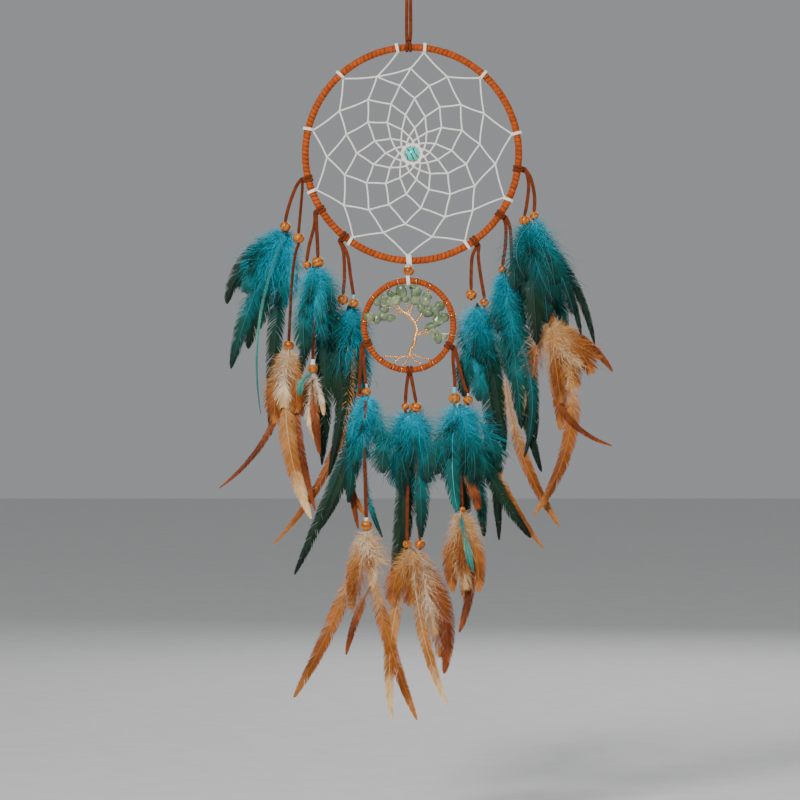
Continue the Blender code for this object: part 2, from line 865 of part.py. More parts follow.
def make_chips():
    """Groups of touching stone chips strung on a branch, each group one solid with the wire's bore."""
    for name, (branch, places) in CHIPS.items():
        chips = []
        for n, (x, z) in enumerate(places):
            bm = bmesh.new()
            bmesh.ops.create_icosphere(bm, subdivisions=2, radius=1.0)
            size = Vector((CHIP_HALF_WIDTH, CHIP_DEPTH, CHIP_HALF_WIDTH))
            for v in bm.verts:
                v.co = Vector(a * b for a, b in zip(v.co, size)) + SMALL_CENTER + Vector((x, 0, z))
            chips.append(add_object(f"chip_{n}", bm, STONE, SMALL_CENTER))
        group = unite(chips[0], chips[1:])
        group.name = f"stone_chips_{name}"
        bm = bmesh.new()
        add_tube(bm, wire_route(*BRANCHES[branch]), WIRE + GAP, 4)
        unite(group, [add_object("wire_bore", bm, STONE, SMALL_CENTER)], "DIFFERENCE")


def main():
    for old in list(bpy.data.objects):
        bpy.data.objects.remove(old)
    hoop_parts("big_hoop", BIG_CENTER, BIG_RADIUS, BIG_CORE, BIG_WRAP, BIG_SEGMENTS)
    hoop_parts("small_hoop", SMALL_CENTER, SMALL_RADIUS, SMALL_CORE, SMALL_WRAP, SMALL_SEGMENTS)
    make_web()
    bore = THREAD + GAP
    make_bead("center_bead", BIG_CENTER, CENTER_BEAD, bore, CENTER_BEAD_HEIGHT, TURQUOISE, 12)
    make_link()
    make_hanger()
    make_tree()
    make_chips()
    for name, tassel in TASSELS.items():
        make_tassel(name, tassel)
    for name, (owner, paint, spine) in FEATHERS.items():
        make_feathers(name, TASSELS[owner], paint, spine)


main()
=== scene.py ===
"""The looks of the dream catcher: wound suede hoops, thread web, wire tree, stone chips, beads and feathers.

Lengths in this file are millimetres in the row frame, and are turned into metres as each mesh is made.
"""

import math

import bpy
import numpy as np
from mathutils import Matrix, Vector


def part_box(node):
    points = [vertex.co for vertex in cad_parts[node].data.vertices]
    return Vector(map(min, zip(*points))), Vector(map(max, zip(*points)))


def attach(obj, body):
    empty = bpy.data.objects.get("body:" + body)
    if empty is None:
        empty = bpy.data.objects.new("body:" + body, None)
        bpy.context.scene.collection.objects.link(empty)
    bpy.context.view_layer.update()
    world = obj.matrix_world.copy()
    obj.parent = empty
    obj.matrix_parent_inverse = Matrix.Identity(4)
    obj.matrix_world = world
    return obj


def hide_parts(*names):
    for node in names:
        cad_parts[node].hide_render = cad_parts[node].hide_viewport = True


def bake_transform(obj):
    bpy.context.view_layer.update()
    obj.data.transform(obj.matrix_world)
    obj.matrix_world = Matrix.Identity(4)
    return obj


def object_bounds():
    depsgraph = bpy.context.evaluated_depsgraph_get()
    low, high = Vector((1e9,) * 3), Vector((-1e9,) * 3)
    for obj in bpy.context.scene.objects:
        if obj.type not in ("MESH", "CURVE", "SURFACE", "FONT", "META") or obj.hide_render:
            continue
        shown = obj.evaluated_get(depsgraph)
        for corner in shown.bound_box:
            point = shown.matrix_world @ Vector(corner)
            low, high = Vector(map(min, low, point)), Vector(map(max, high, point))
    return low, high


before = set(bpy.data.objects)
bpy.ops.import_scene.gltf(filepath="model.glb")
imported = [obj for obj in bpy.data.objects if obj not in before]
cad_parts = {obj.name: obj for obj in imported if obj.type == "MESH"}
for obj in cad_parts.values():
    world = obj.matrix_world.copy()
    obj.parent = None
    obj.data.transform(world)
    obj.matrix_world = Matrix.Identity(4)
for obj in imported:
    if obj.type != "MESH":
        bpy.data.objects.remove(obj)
cad_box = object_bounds()

MM = 0.001
LACE_HALF = 1.25
LACE_THICK = 0.5

# The frame's main places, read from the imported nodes


def node_middle(name):
    low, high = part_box(name)
    return np.array([(a + b) / 2 for a, b in zip(low, high)]) / MM


def node_size(name):
    low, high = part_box(name)
    return np.array([b - a for a, b in zip(low, high)]) / MM


BIG_WRAP = 2.6
SMALL_WRAP = 2.2
BIG_CENTER = node_middle("big_hoop_core")
SMALL_CENTER = node_middle("small_hoop_core")
BIG_RADIUS = 80.0
SMALL_RADIUS = 33.5
DEPTH = np.array([0.0, 1.0, 0.0])


def outward(degrees):
    a = math.radians(degrees)
    return np.array([math.sin(a), 0.0, math.cos(a)])


def along(degrees):
    a = math.radians(degrees)
    return np.array([math.cos(a), 0.0, -math.sin(a)])


def hitch_point(hoop, degrees):
    center, radius = (BIG_CENTER, BIG_RADIUS) if hoop == "big" else (SMALL_CENTER, SMALL_RADIUS)
    return center + outward(degrees) * radius


# Camera: square on to the hoops

VIEW_WIDTH = 600.0
VIEW_CENTER = np.array([-6.5, 0.0, -332.0])
CAMERA_DISTANCE = 2600.0


def make_camera():
    data = bpy.data.cameras.new("camera")
    data.sensor_width = 36.0
    data.lens = data.sensor_width * CAMERA_DISTANCE / VIEW_WIDTH
    camera = bpy.data.objects.new("camera", data)
    camera.location = (VIEW_CENTER + np.array([0.0, -CAMERA_DISTANCE, 0.0])) * MM
    camera.rotation_euler = (math.pi / 2, 0.0, 0.0)
    bpy.context.scene.collection.objects.link(camera)
    bpy.context.scene.camera = camera


make_camera()

# Materials


class Nodes:
    """A material whose Principled shader is fed by nodes added one call at a time."""

    def __init__(self, name, roughness=0.6, metallic=0.0):
        self.material = bpy.data.materials.new(name)
        self.material.use_nodes = True
        self.tree = self.material.node_tree
        self.shader = self.tree.nodes["Principled BSDF"]
        self.shader.inputs["Roughness"].default_value = roughness
        self.shader.inputs["Metallic"].default_value = metallic

    def add(self, kind, **values):
        node = self.tree.nodes.new(kind)
        for key, value in values.items():
            setattr(node, key, value)
        return node

    def link(self, out, into):
        self.tree.links.new(out, into)

    def attribute(self, name):
        return self.add("ShaderNodeAttribute", attribute_name=name).outputs["Fac"]

    def noise(self, scale, detail):
        node = self.add("ShaderNodeTexNoise")
        node.inputs["Scale"].default_value = scale
        node.inputs["Detail"].default_value = detail
        self.link(self.add("ShaderNodeTexCoord").outputs["Object"], node.inputs["Vector"])
        return node.outputs["Fac"]

    def ramp(self, fac, stops):
        node = self.add("ShaderNodeValToRGB")
        node.color_ramp.interpolation = "EASE"
        elements = node.color_ramp.elements
        while len(elements) < len(stops):
            elements.new(0.5)
        for element, (place, colour) in zip(elements, stops):
            element.position = place
            element.color = (*colour, 1.0)
        self.link(fac, node.inputs["Fac"])
        return node.outputs["Color"]

    def math(self, operation, *values):
        node = self.add("ShaderNodeMath", operation=operation)
        for socket, value in zip(node.inputs, values):
            if isinstance(value, (int, float)):
                socket.default_value = value
            else:
                self.link(value, socket)
        return node.outputs[0]

    def scaled(self, value, factor, offset):
        return self.math("ADD", self.math("MULTIPLY", value, factor), offset)

    def mix(self, fac, a, b, blend="MIX"):
        node = self.add("ShaderNodeMix", data_type="RGBA", blend_type=blend)
        for name, value in (("Factor_Float", fac), ("A_Color", a), ("B_Color", b)):
            socket = next(s for s in node.inputs if s.identifier == name)
            if isinstance(value, (int, float)):
                socket.default_value = value
            elif isinstance(value, tuple):
                socket.default_value = (*value, 1.0)
            else:
                self.link(value, socket)
        return next(s for s in node.outputs if s.identifier == "Result_Color")

    def set(self, **values):
        for socket, value in values.items():
            self.shader.inputs[socket.replace("_", " ")].default_value = value

    def colour(self, out):
        self.link(out, self.shader.inputs["Base Color"])

    def roughness(self, out):
        self.link(out, self.shader.inputs["Roughness"])

    def bump(self, height, strength, distance):
        node = self.add("ShaderNodeBump")
        node.inputs["Strength"].default_value = strength
        node.inputs["Distance"].default_value = distance
        self.link(height, node.inputs["Height"])
        self.link(node.outputs["Normal"], self.shader.inputs["Normal"])


def suede_material(name, low, high, napped_colour):
    """Napped suede: a worn colour that drifts along the lace, with paler nap standing on it."""
    m = Nodes(name, 0.88)
    broad = m.noise(260.0, 4.0)
    nap = m.noise(2600.0, 2.0)
    worn = m.ramp(broad, [(0.3, low), (0.72, high)])
    napped = m.mix(m.math("MULTIPLY", nap, 0.4), worn, napped_colour)
    # Painted shade: the shade attribute darkens a lace's edges and the hoop winding's edges, grooves and
    # underside
    shade = m.ramp(m.attribute("shade"), [(0.0, (0.30, 0.26, 0.26)), (1.0, (1.0, 1.0, 1.0))])
    m.colour(m.mix(1.0, napped, shade, "MULTIPLY"))
    m.roughness(m.scaled(nap, 0.25, 0.7))
    m.set(Specular_IOR_Level=0.2, Sheen_Weight=0.1, Sheen_Tint=(1.0, 0.35, 0.12, 1.0))
    m.bump(m.math("ADD", nap, broad), 0.5, 0.00025)
    return m.material


def thread_material():
    m = Nodes("thread", 0.5)
    lay = m.scaled(m.math("SINE", m.attribute("shade")), 0.5, 0.5)
    wax = m.noise(700.0, 2.0)
    # Painted shade: the thread is darker where the lay is low, in the grooves between its plies
    stops = [(0.0, (0.62, 0.58, 0.50)), (0.4, (0.92, 0.90, 0.83)), (1.0, (0.97, 0.96, 0.92))]
    base = m.ramp(lay, stops)
    m.colour(m.mix(m.math("MULTIPLY", wax, 0.2), base, (0.80, 0.74, 0.62)))
    m.roughness(m.scaled(wax, 0.3, 0.35))
    m.bump(lay, 0.6, 0.0002)
    return m.material


def copper_material():
    m = Nodes("copper", 0.28, 1.0)
    tarnish = m.noise(500.0, 5.0)
    m.colour(m.ramp(tarnish, [(0.35, (0.80, 0.40, 0.15)), (0.65, (0.92, 0.57, 0.28))]))
    m.roughness(m.scaled(tarnish, 0.3, 0.12))
    m.bump(m.noise(4000.0, 2.0), 0.15, 0.00005)
    return m.material


def steel_material():
    m = Nodes("ring_steel", 0.35, 1.0)
    drawn = m.noise(3000.0, 2.0)
    m.colour(m.ramp(drawn, [(0.3, (0.42, 0.42, 0.43)), (0.7, (0.62, 0.62, 0.62))]))
    m.roughness(m.scaled(drawn, 0.3, 0.25))
    return m.material


def wood_material():
    m = Nodes("wood_bead", 0.25)
    grain = m.attribute("grain")
    fine = m.noise(900.0, 3.0)
    lines = m.math("ADD", m.math("MULTIPLY", grain, 0.6), m.math("MULTIPLY", fine, 5.0))
    figure = m.scaled(m.math("SINE", lines), 0.5, 0.5)
    stops = [(0.0, (0.24, 0.058, 0.002)), (0.3, (0.40, 0.115, 0.004)), (1.0, (0.56, 0.19, 0.008))]
    m.colour(m.ramp(figure, stops))
    m.set(Specular_IOR_Level=0.25, Coat_Weight=0.55, Coat_Roughness=0.2)
    m.set(Coat_Tint=(1.0, 0.84, 0.6, 1.0))
    m.roughness(m.scaled(fine, 0.25, 0.25))
    m.bump(figure, 0.05, 0.0002)
    return m.material


VEIN_SLANT = 0.5


def turquoise_material():
    m = Nodes("turquoise", 0.2)
    warp = m.noise(260.0, 4.0)
    vein_noise = m.add("ShaderNodeTexWave", bands_direction="X")
    vein_noise.inputs["Scale"].default_value = 95.0
    vein_noise.inputs["Distortion"].default_value = 2.2
    vein_noise.inputs["Detail"].default_value = 3.0
    vein_noise.inputs["Detail Scale"].default_value = 2.0
    slant = m.add("ShaderNodeMapping")
    slant.inputs["Rotation"].default_value = (0.0, VEIN_SLANT, 0.0)
    m.link(m.add("ShaderNodeTexCoord").outputs["Object"], slant.inputs["Vector"])
    m.link(slant.outputs["Vector"], vein_noise.inputs["Vector"])
    body = m.ramp(warp, [(0.35, (0.008, 0.56, 0.47)), (0.7, (0.05, 0.84, 0.70))])
    vein = m.ramp(vein_noise.outputs["Fac"], [(0.06, (0.03, 0.04, 0.03)), (0.2, (1.0, 1.0, 1.0))])
    m.colour(m.mix(1.0, body, vein, "MULTIPLY"))
    m.set(Coat_Weight=0.6, Coat_Roughness=0.08)
    m.bump(vein_noise.outputs["Fac"], 0.1, 0.0001)
    m.roughness(m.scaled(warp, 0.2, 0.12))
    return m.material


def stone_material():
    m = Nodes("sage_stone", 0.3)
    cloud = m.noise(180.0, 5.0)
    speck = m.noise(1500.0, 3.0)
    stops = [(0.3, (0.03, 0.06, 0.022)), (0.5, (0.11, 0.165, 0.075)), (0.75, (0.34, 0.38, 0.24))]
    body = m.ramp(cloud, stops)
    stops = [(0.0, (0.55, 0.66, 0.52)), (0.7, (1.0, 1.0, 0.95)), (1.0, (1.5, 1.35, 1.25))]
    tint = m.ramp(m.attribute("shade"), stops)
    m.colour(m.mix(1.0, m.mix(m.math("MULTIPLY", speck, 0.25), body, (0.42, 0.45, 0.33)), tint, "MULTIPLY"))
    m.set(Subsurface_Weight=0.15, Subsurface_Radius=(0.002, 0.003, 0.0015), Coat_Weight=0.3)
    m.set(Coat_Roughness=0.15)
    m.roughness(m.scaled(speck, 0.3, 0.15))
    m.bump(speck, 0.2, 0.0002)
    return m.material


def plastic_material(name, colour, roughness, metallic=0.0):
    m = Nodes(name, roughness, metallic)
    scuff = m.noise(1800.0, 3.0)
    darker = tuple(0.75 * c for c in colour)
    m.colour(m.mix(scuff, colour, darker))
    m.roughness(m.scaled(scuff, 0.3, roughness))
    return m.material


PLAIN_SHEEN = 0.08
DARK_SHEEN = 0.4
STREAK = 0.8


def feather_material(name, stops, edge, sheen):
    """Colour runs along the feather, darkens towards the barbs' ends and varies barb by barb."""
    m = Nodes(name, 0.6)
    place = m.attribute("along")
    wander = m.math("MULTIPLY", m.math("SUBTRACT", m.noise(120.0, 3.0), 0.5), 0.25)
    run = m.ramp(m.math("ADD", place, wander), stops)
    across = m.attribute("across")
    rim = m.ramp(across, [(0.45, (1.0, 1.0, 1.0)), (1.0, edge)])
    barb = m.scaled(m.attribute("shade"), STREAK, 1.0 - STREAK / 2)
    coloured = m.mix(1.0, run, rim, "MULTIPLY")
    scaled = m.add("ShaderNodeVectorMath", operation="SCALE")
    m.link(coloured, scaled.inputs[0])
    m.link(barb, scaled.inputs["Scale"])
    m.colour(scaled.outputs[0])
    m.roughness(m.scaled(m.attribute("shade"), 0.2, 0.42))
    m.set(Sheen_Weight=sheen, Sheen_Roughness=0.4, Sheen_Tint=(*stops[1][1], 1.0))
    m.set(Specular_IOR_Level=0.08)
    return m.material


SUEDE = suede_material("suede", (0.27, 0.040, 0.003), (0.47, 0.078, 0.008), (0.58, 0.13, 0.022))
LACE_SUEDE = suede_material("lace_suede", (0.075, 0.012, 0.002), (0.16, 0.026, 0.004), (0.24, 0.052, 0.012))
THREAD = thread_material()
COPPER = copper_material()
STEEL = steel_material()
WOOD = wood_material()
TURQUOISE = turquoise_material()
STONE = stone_material()
WHITE_CRIMP = plastic_material("white_crimp", (0.75, 0.73, 0.68), 0.3)
CYAN_STUB = plastic_material("cyan_stub", (0.16, 0.55, 0.58), 0.35)
SILVER_CRIMP = plastic_material("silver_crimp", (0.7, 0.7, 0.7), 0.2, 1.0)
QUILL_TEAL = plastic_material("quill_teal", (0.006, 0.16, 0.20), 0.35)
QUILL_DARK = plastic_material("quill_dark", (0.008, 0.035, 0.03), 0.35)
QUILL_PALE = plastic_material("quill_pale", (0.42, 0.20, 0.07), 0.35)
QUILL_RUST = plastic_material("quill_rust", (0.16, 0.04, 0.012), 0.35)
QUILL_WHITE = plastic_material("quill_white", (0.55, 0.45, 0.32), 0.35)

# Each kind: its quill, its share of loose down, the tint of its barbs' ends and its colours from the root
FEATHER_KINDS = {
    "teal": (QUILL_TEAL, 0.5, (0.75, 0.85, 0.85), [
        (0.0, (0.0003, 0.35, 0.50)), (0.25, (0.0003, 0.26, 0.33)), (0.5, (0.0008, 0.14, 0.145)),
        (0.75, (0.004, 0.050, 0.038)), (1.0, (0.006, 0.018, 0.012)),
    ]),
    "cyan": (QUILL_TEAL, 0.38, (0.8, 0.9, 0.9), [
        (0.0, (0.0003, 0.45, 0.66)), (0.4, (0.0003, 0.37, 0.50)), (0.75, (0.0015, 0.15, 0.16)),
        (1.0, (0.006, 0.038, 0.029)),
    ]),
    "deep": (QUILL_TEAL, 0.5, (0.7, 0.85, 0.85), [
        (0.0, (0.0005, 0.20, 0.23)), (0.4, (0.0008, 0.12, 0.125)), (0.75, (0.004, 0.042, 0.032)),
        (1.0, (0.006, 0.016, 0.011)),
    ]),
    "striped": (CYAN_STUB, 0.3, (0.45, 0.6, 0.6), [
        (0.0, (0.0003, 0.34, 0.44)), (0.35, (0.0008, 0.14, 0.14)), (0.7, (0.002, 0.085, 0.075)),
        (1.0, (0.001, 0.14, 0.13)),
    ]),
    "dark": (QUILL_DARK, 0.22, (0.6, 0.9, 0.8), [
        (0.0, (0.002, 0.12, 0.14)), (0.3, (0.004, 0.055, 0.045)), (0.65, (0.010, 0.030, 0.014)),
        (1.0, (0.006, 0.012, 0.008)),
    ]),
    "tan": (QUILL_PALE, 0.34, (0.95, 0.85, 0.75), [
        (0.0, (0.60, 0.36, 0.16)), (0.25, (0.58, 0.30, 0.10)), (0.5, (0.34, 0.105, 0.017)),
        (0.8, (0.21, 0.055, 0.009)), (1.0, (0.40, 0.15, 0.035)),
    ]),
    "pale": (QUILL_WHITE, 0.3, (0.95, 0.88, 0.8), [
        (0.0, (0.60, 0.40, 0.20)), (0.3, (0.46, 0.20, 0.05)), (0.7, (0.36, 0.13, 0.024)),
        (0.85, (0.62, 0.38, 0.17)), (1.0, (0.74, 0.52, 0.28)),
    ]),
    "rust": (QUILL_RUST, 0.2, (0.8, 0.7, 0.6), [
        (0.0, (0.42, 0.20, 0.08)), (0.35, (0.26, 0.07, 0.016)), (0.7, (0.13, 0.028, 0.007)),
        (1.0, (0.24, 0.055, 0.014)),
    ]),
    "white": (QUILL_WHITE, 0.5, (0.9, 0.9, 0.88), [
        (0.0, (0.66, 0.54, 0.38)), (0.4, (0.72, 0.60, 0.42)), (1.0, (0.58, 0.34, 0.14)),
    ]),
    "aqua": (QUILL_TEAL, 0.4, (0.9, 0.95, 0.95), [
        (0.0, (0.05, 0.26, 0.22)), (0.5, (0.08, 0.28, 0.20)), (1.0, (0.01, 0.13, 0.11)),
    ]),
}
FEATHER_LOOKS = {}
for kind_name, (quill_look, down_share, rim_tint, colour_stops) in FEATHER_KINDS.items():
    kind_sheen = DARK_SHEEN if kind_name == "dark" else PLAIN_SHEEN
    barb_look = feather_material(f"feather_{kind_name}", colour_stops, rim_tint, kind_sheen)
    FEATHER_LOOKS[kind_name] = (barb_look, quill_look, down_share)

# Mesh helpers


def make_piece(
    name, points, quads, body, replaced=(), material=None, attributes=None, slots=None
):
    mesh = bpy.data.meshes.new(name)
    points = np.asarray(points, float) * MM
    quads = np.asarray(quads, int)
    mesh.vertices.add(len(points))
    mesh.vertices.foreach_set("co", points.astype(np.float32).ravel())
    mesh.loops.add(quads.size)
    mesh.loops.foreach_set("vertex_index", quads.ravel())
    mesh.polygons.add(len(quads))
    mesh.polygons.foreach_set("loop_start", np.arange(0, quads.size, 4))
    mesh.update(calc_edges=True)
    for key, values in (attributes or {}).items():
        layer = mesh.attributes.new(key, "FLOAT", "POINT")
        layer.data.foreach_set("value", np.asarray(values, np.float32))
    for m in material if isinstance(material, (list, tuple)) else [material]:
        mesh.materials.append(m)
    if slots is not None:
        mesh.polygons.foreach_set("material_index", np.asarray(slots, int))
    mesh.shade_smooth()
    made = bpy.data.objects.new(name, mesh)
    bpy.context.scene.collection.objects.link(made)
    if body:
        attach(made, body)
    if replaced:
        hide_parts(*replaced)
    return made


def grid_quads(rows, columns, closed_rows=False):
    """Quads over a grid of points whose columns wrap round."""
    r = np.arange(rows if closed_rows else rows - 1)[:, None]
    c = np.arange(columns)[None, :]
    r2, c2 = (r + 1) % rows, (c + 1) % columns
    quads = [r * columns + c, r * columns + c2, r2 * columns + c2, r2 * columns + c]
    return np.stack([np.broadcast_to(q, (r.size, columns)) for q in quads], -1).reshape(-1, 4)


def unit(v):
    return v / np.maximum(np.linalg.norm(v, axis=-1, keepdims=True), 1e-9)


def smooth_route(points, spacing):
    """Points along a smooth curve through the given points, evenly about the spacing apart."""
    p = np.asarray(points, float)
    p = np.vstack([2 * p[0] - p[1], p, 2 * p[-1] - p[-2]])
    out = []
    for a, b, c, d in zip(p, p[1:], p[2:], p[3:]):
        n = max(1, round(np.linalg.norm(c - b) / spacing))
        t = (np.arange(n) / n)[:, None]
        curve = 2 * b + (c - a) * t + (2 * a - 5 * b + 4 * c - d) * t**2 + (3 * b - a - 3 * c + d) * t**3
        out.append(0.5 * curve)
    return np.vstack([*out, p[-2:-1]])


def frames(path, side):
    """Tangents with two unit normals that are carried along the path without twisting."""
    tangent = unit(np.gradient(path, axis=0))
    sides = np.empty_like(path)
    s = np.asarray(side, float)
    for i, t in enumerate(tangent):
        s = unit(s - t * np.dot(s, t))
        sides[i] = s
    return tangent, sides, np.cross(tangent, sides)


def sweep(path, outline, side, scale=None):
    """A closed tube of an outline along a path; scale gives its width and thickness by station."""
    _, s, n = frames(path, side)
    outline = np.asarray(outline, float)
    scale = np.ones((len(path), 2)) if scale is None else np.asarray(scale, float)
    ends = np.array([0, *range(len(path)), len(path) - 1])
    shrink = np.ones(len(ends))
    shrink[[0, -1]] = 0.02
    u = outline[None, :, 0] * scale[ends, 0:1] * shrink[:, None]
    v = outline[None, :, 1] * scale[ends, 1:2] * shrink[:, None]
    points = path[ends][:, None, :] + u[..., None] * s[ends][:, None, :] + v[..., None] * n[ends][:, None, :]
    return points.reshape(-1, 3), grid_quads(len(ends), len(outline))


def round_outline(radius, sides):
    a = np.arange(sides) * math.tau / sides
    return np.stack([radius * np.cos(a), radius * np.sin(a)], 1)


def joined(parts):
    """Several (points, quads) as one."""
    points, quads, first = [], [], 0
    for p, q in parts:
        points.append(p)
        quads.append(q + first)
        first += len(p)
    return np.vstack(points), np.vstack(quads)


LACE_OUTLINE = np.array(
    [(-1, -0.45), (-0.86, -0.95), (-0.4, -1.0), (0.4, -1.0), (0.86, -0.95), (1, -0.45)]
    + [(1, 0.45), (0.86, 0.95), (0.4, 1.0), (-0.4, 1.0), (-0.86, 0.95), (-1, 0.45)]
) * np.array([LACE_HALF, LACE_THICK])
# Painted shade across the lace: darker at its two edges than along its middle
LACE_SHADE = np.array([0.7, 0.85, 1.0, 1.0, 0.85, 0.7] * 2)

# Laces: hitches and strands, on the same routes as the CAD's laces

GAP = 0.3
LACE_SPREAD = 1.5
HANG_DEG = 358.2
BEAD_HEIGHT_SHARE = 0.78
FOLD_REACH = 2.5
FOLD_NARROWS = 0.36
FOLD_THICKENS = 0.35
LACE_END = 1.0


def hitch_half(at, degrees, side, reach):
    """Half of a lark's head: from its strand, round the hoop, to the crossing in front."""
    route = (
        (1.1, reach + 1.6, 0.2),
        (1.2, 0.8 * reach, 0.72 * reach),
        (1.3, 0.0, reach),
        (1.35, -0.71 * reach, 0.71 * reach),
        (1.35, -reach, 0.0),
        (1.35, -0.71 * reach, -0.71 * reach),
        (1.35, 0.0, -reach),
        (1.3, 0.6 * reach, -0.86 * reach),
        (0.8, reach + 0.1, -0.55 * reach),
    )
    tangent, out = along(degrees), outward(degrees)
    return [at + tangent * (side * t) + out * n + DEPTH * y for t, n, y in route]


def point_at_height(points, z):
    for a, b in zip(points, points[1:]):
        if b[2] <= z <= a[2]:
            share = (z - a[2]) / (b[2] - a[2])
            return np.array(a) + (np.array(b) - np.array(a)) * share
    return np.array(points[-1], float)


def threaded(points, beads):
    """A strand's points, made plumb through each of its beads, and running just past the last one."""
    route = [np.array(p, float) for p in points]
    for z, radius in beads:
        center = point_at_height(points, z)
        reach = np.array([0.0, 0.0, radius * BEAD_HEIGHT_SHARE + LACE_END])
        route = [p for p in route if abs(p[2] - z) > 2 * reach[2]]
        above = sum(p[2] > z for p in route)
        route[above:above] = [center + reach, center, center - reach]
    return route


def lace_mesh(path, side, heights=(), rng=None):
    """A flat suede lace along a path, folded narrow where it passes a bead (world height, half height)."""
    scale = np.ones((len(path), 2))
    for z, half in heights:
        near = np.clip((half + FOLD_REACH - np.abs(path[:, 2] - z)) / FOLD_REACH, 0, 1)
        near = near * near * (3 - 2 * near)
        scale[:, 0] *= 1 - FOLD_NARROWS * near
        scale[:, 1] *= 1 + FOLD_THICKENS * near
    if rng is not None:
        wave = np.cumsum(rng.normal(0, 0.012, len(path)))
        scale[:, 0] *= 1 + np.clip(wave - wave.mean(), -0.07, 0.07)
    return sweep(path, LACE_OUTLINE, side, scale)


def lace_attributes(points):
    stations = len(points) // len(LACE_OUTLINE)
    return {"shade": np.tile(LACE_SHADE, stations)}


def suede_piece(name, swept, body, node, material):
    """A piece of lace with painted shade at its edges, in the suede slot."""
    points, quads = swept
    return make_piece(name, points, quads, body, (node,), material, lace_attributes(points))


def revolve(center, profile, segments):
    """A ring-shaped solid turned about a vertical axis, from a closed profile of (radius, height)."""
    a = np.arange(segments) * math.tau / segments
    profile = np.asarray(profile, float)
    x = np.cos(a)[:, None] * profile[None, :, 0]
    y = np.sin(a)[:, None] * profile[None, :, 0]
    z = np.broadcast_to(profile[None, :, 1], x.shape)
    points = np.stack([x, y, z], -1).reshape(-1, 3) + center
    return points, grid_quads(segments, len(profile), closed_rows=True)


def bead_profile(radius, bore, half, stations=14):
    """A round bead's outline with softened rims, back up through its bore."""
    outer = []
    for i in range(stations + 1):
        z = -half + 2 * half * i / stations
        outer.append((radius * math.sqrt(1 - (BEAD_HEIGHT_SHARE * z / half) ** 2), z))
    rim = outer[0][0]
    low = [(bore, -0.8 * half), (bore + 0.15, -0.97 * half), (0.5 * (rim + bore), -1.02 * half)]
    high = [(r, -z) for r, z in reversed(low)]
    return [*low, *outer, *high]


def make_bead(name, center, radius, body, material, rng, bore=1.3, half=None, node=None):
    half = radius * BEAD_HEIGHT_SHARE if half is None else half
    points, quads = revolve(center, bead_profile(radius, bore, half), 40)
    direction = unit(rng.normal(size=3) * np.array([1.0, 1.0, 0.5]))
    grain = (points - center) @ direction * rng.uniform(3.0, 4.2) + rng.uniform(0, 6)
    return make_piece(name, points, quads, body, (node or name,), material, {"grain": grain})


def crimp(name, center, radius, height, body, material):
    h = height / 2
    profile = [(0.9, -h), (radius, -h), (1.12 * radius, -0.7 * h), (radius, -0.3 * h), (radius, 0.3 * h)]
    profile += [(1.12 * radius, 0.7 * h), (radius, h), (0.9, h)]
    points, quads = revolve(center, profile, 24)
    return make_piece(name, points, quads, body, (), material)


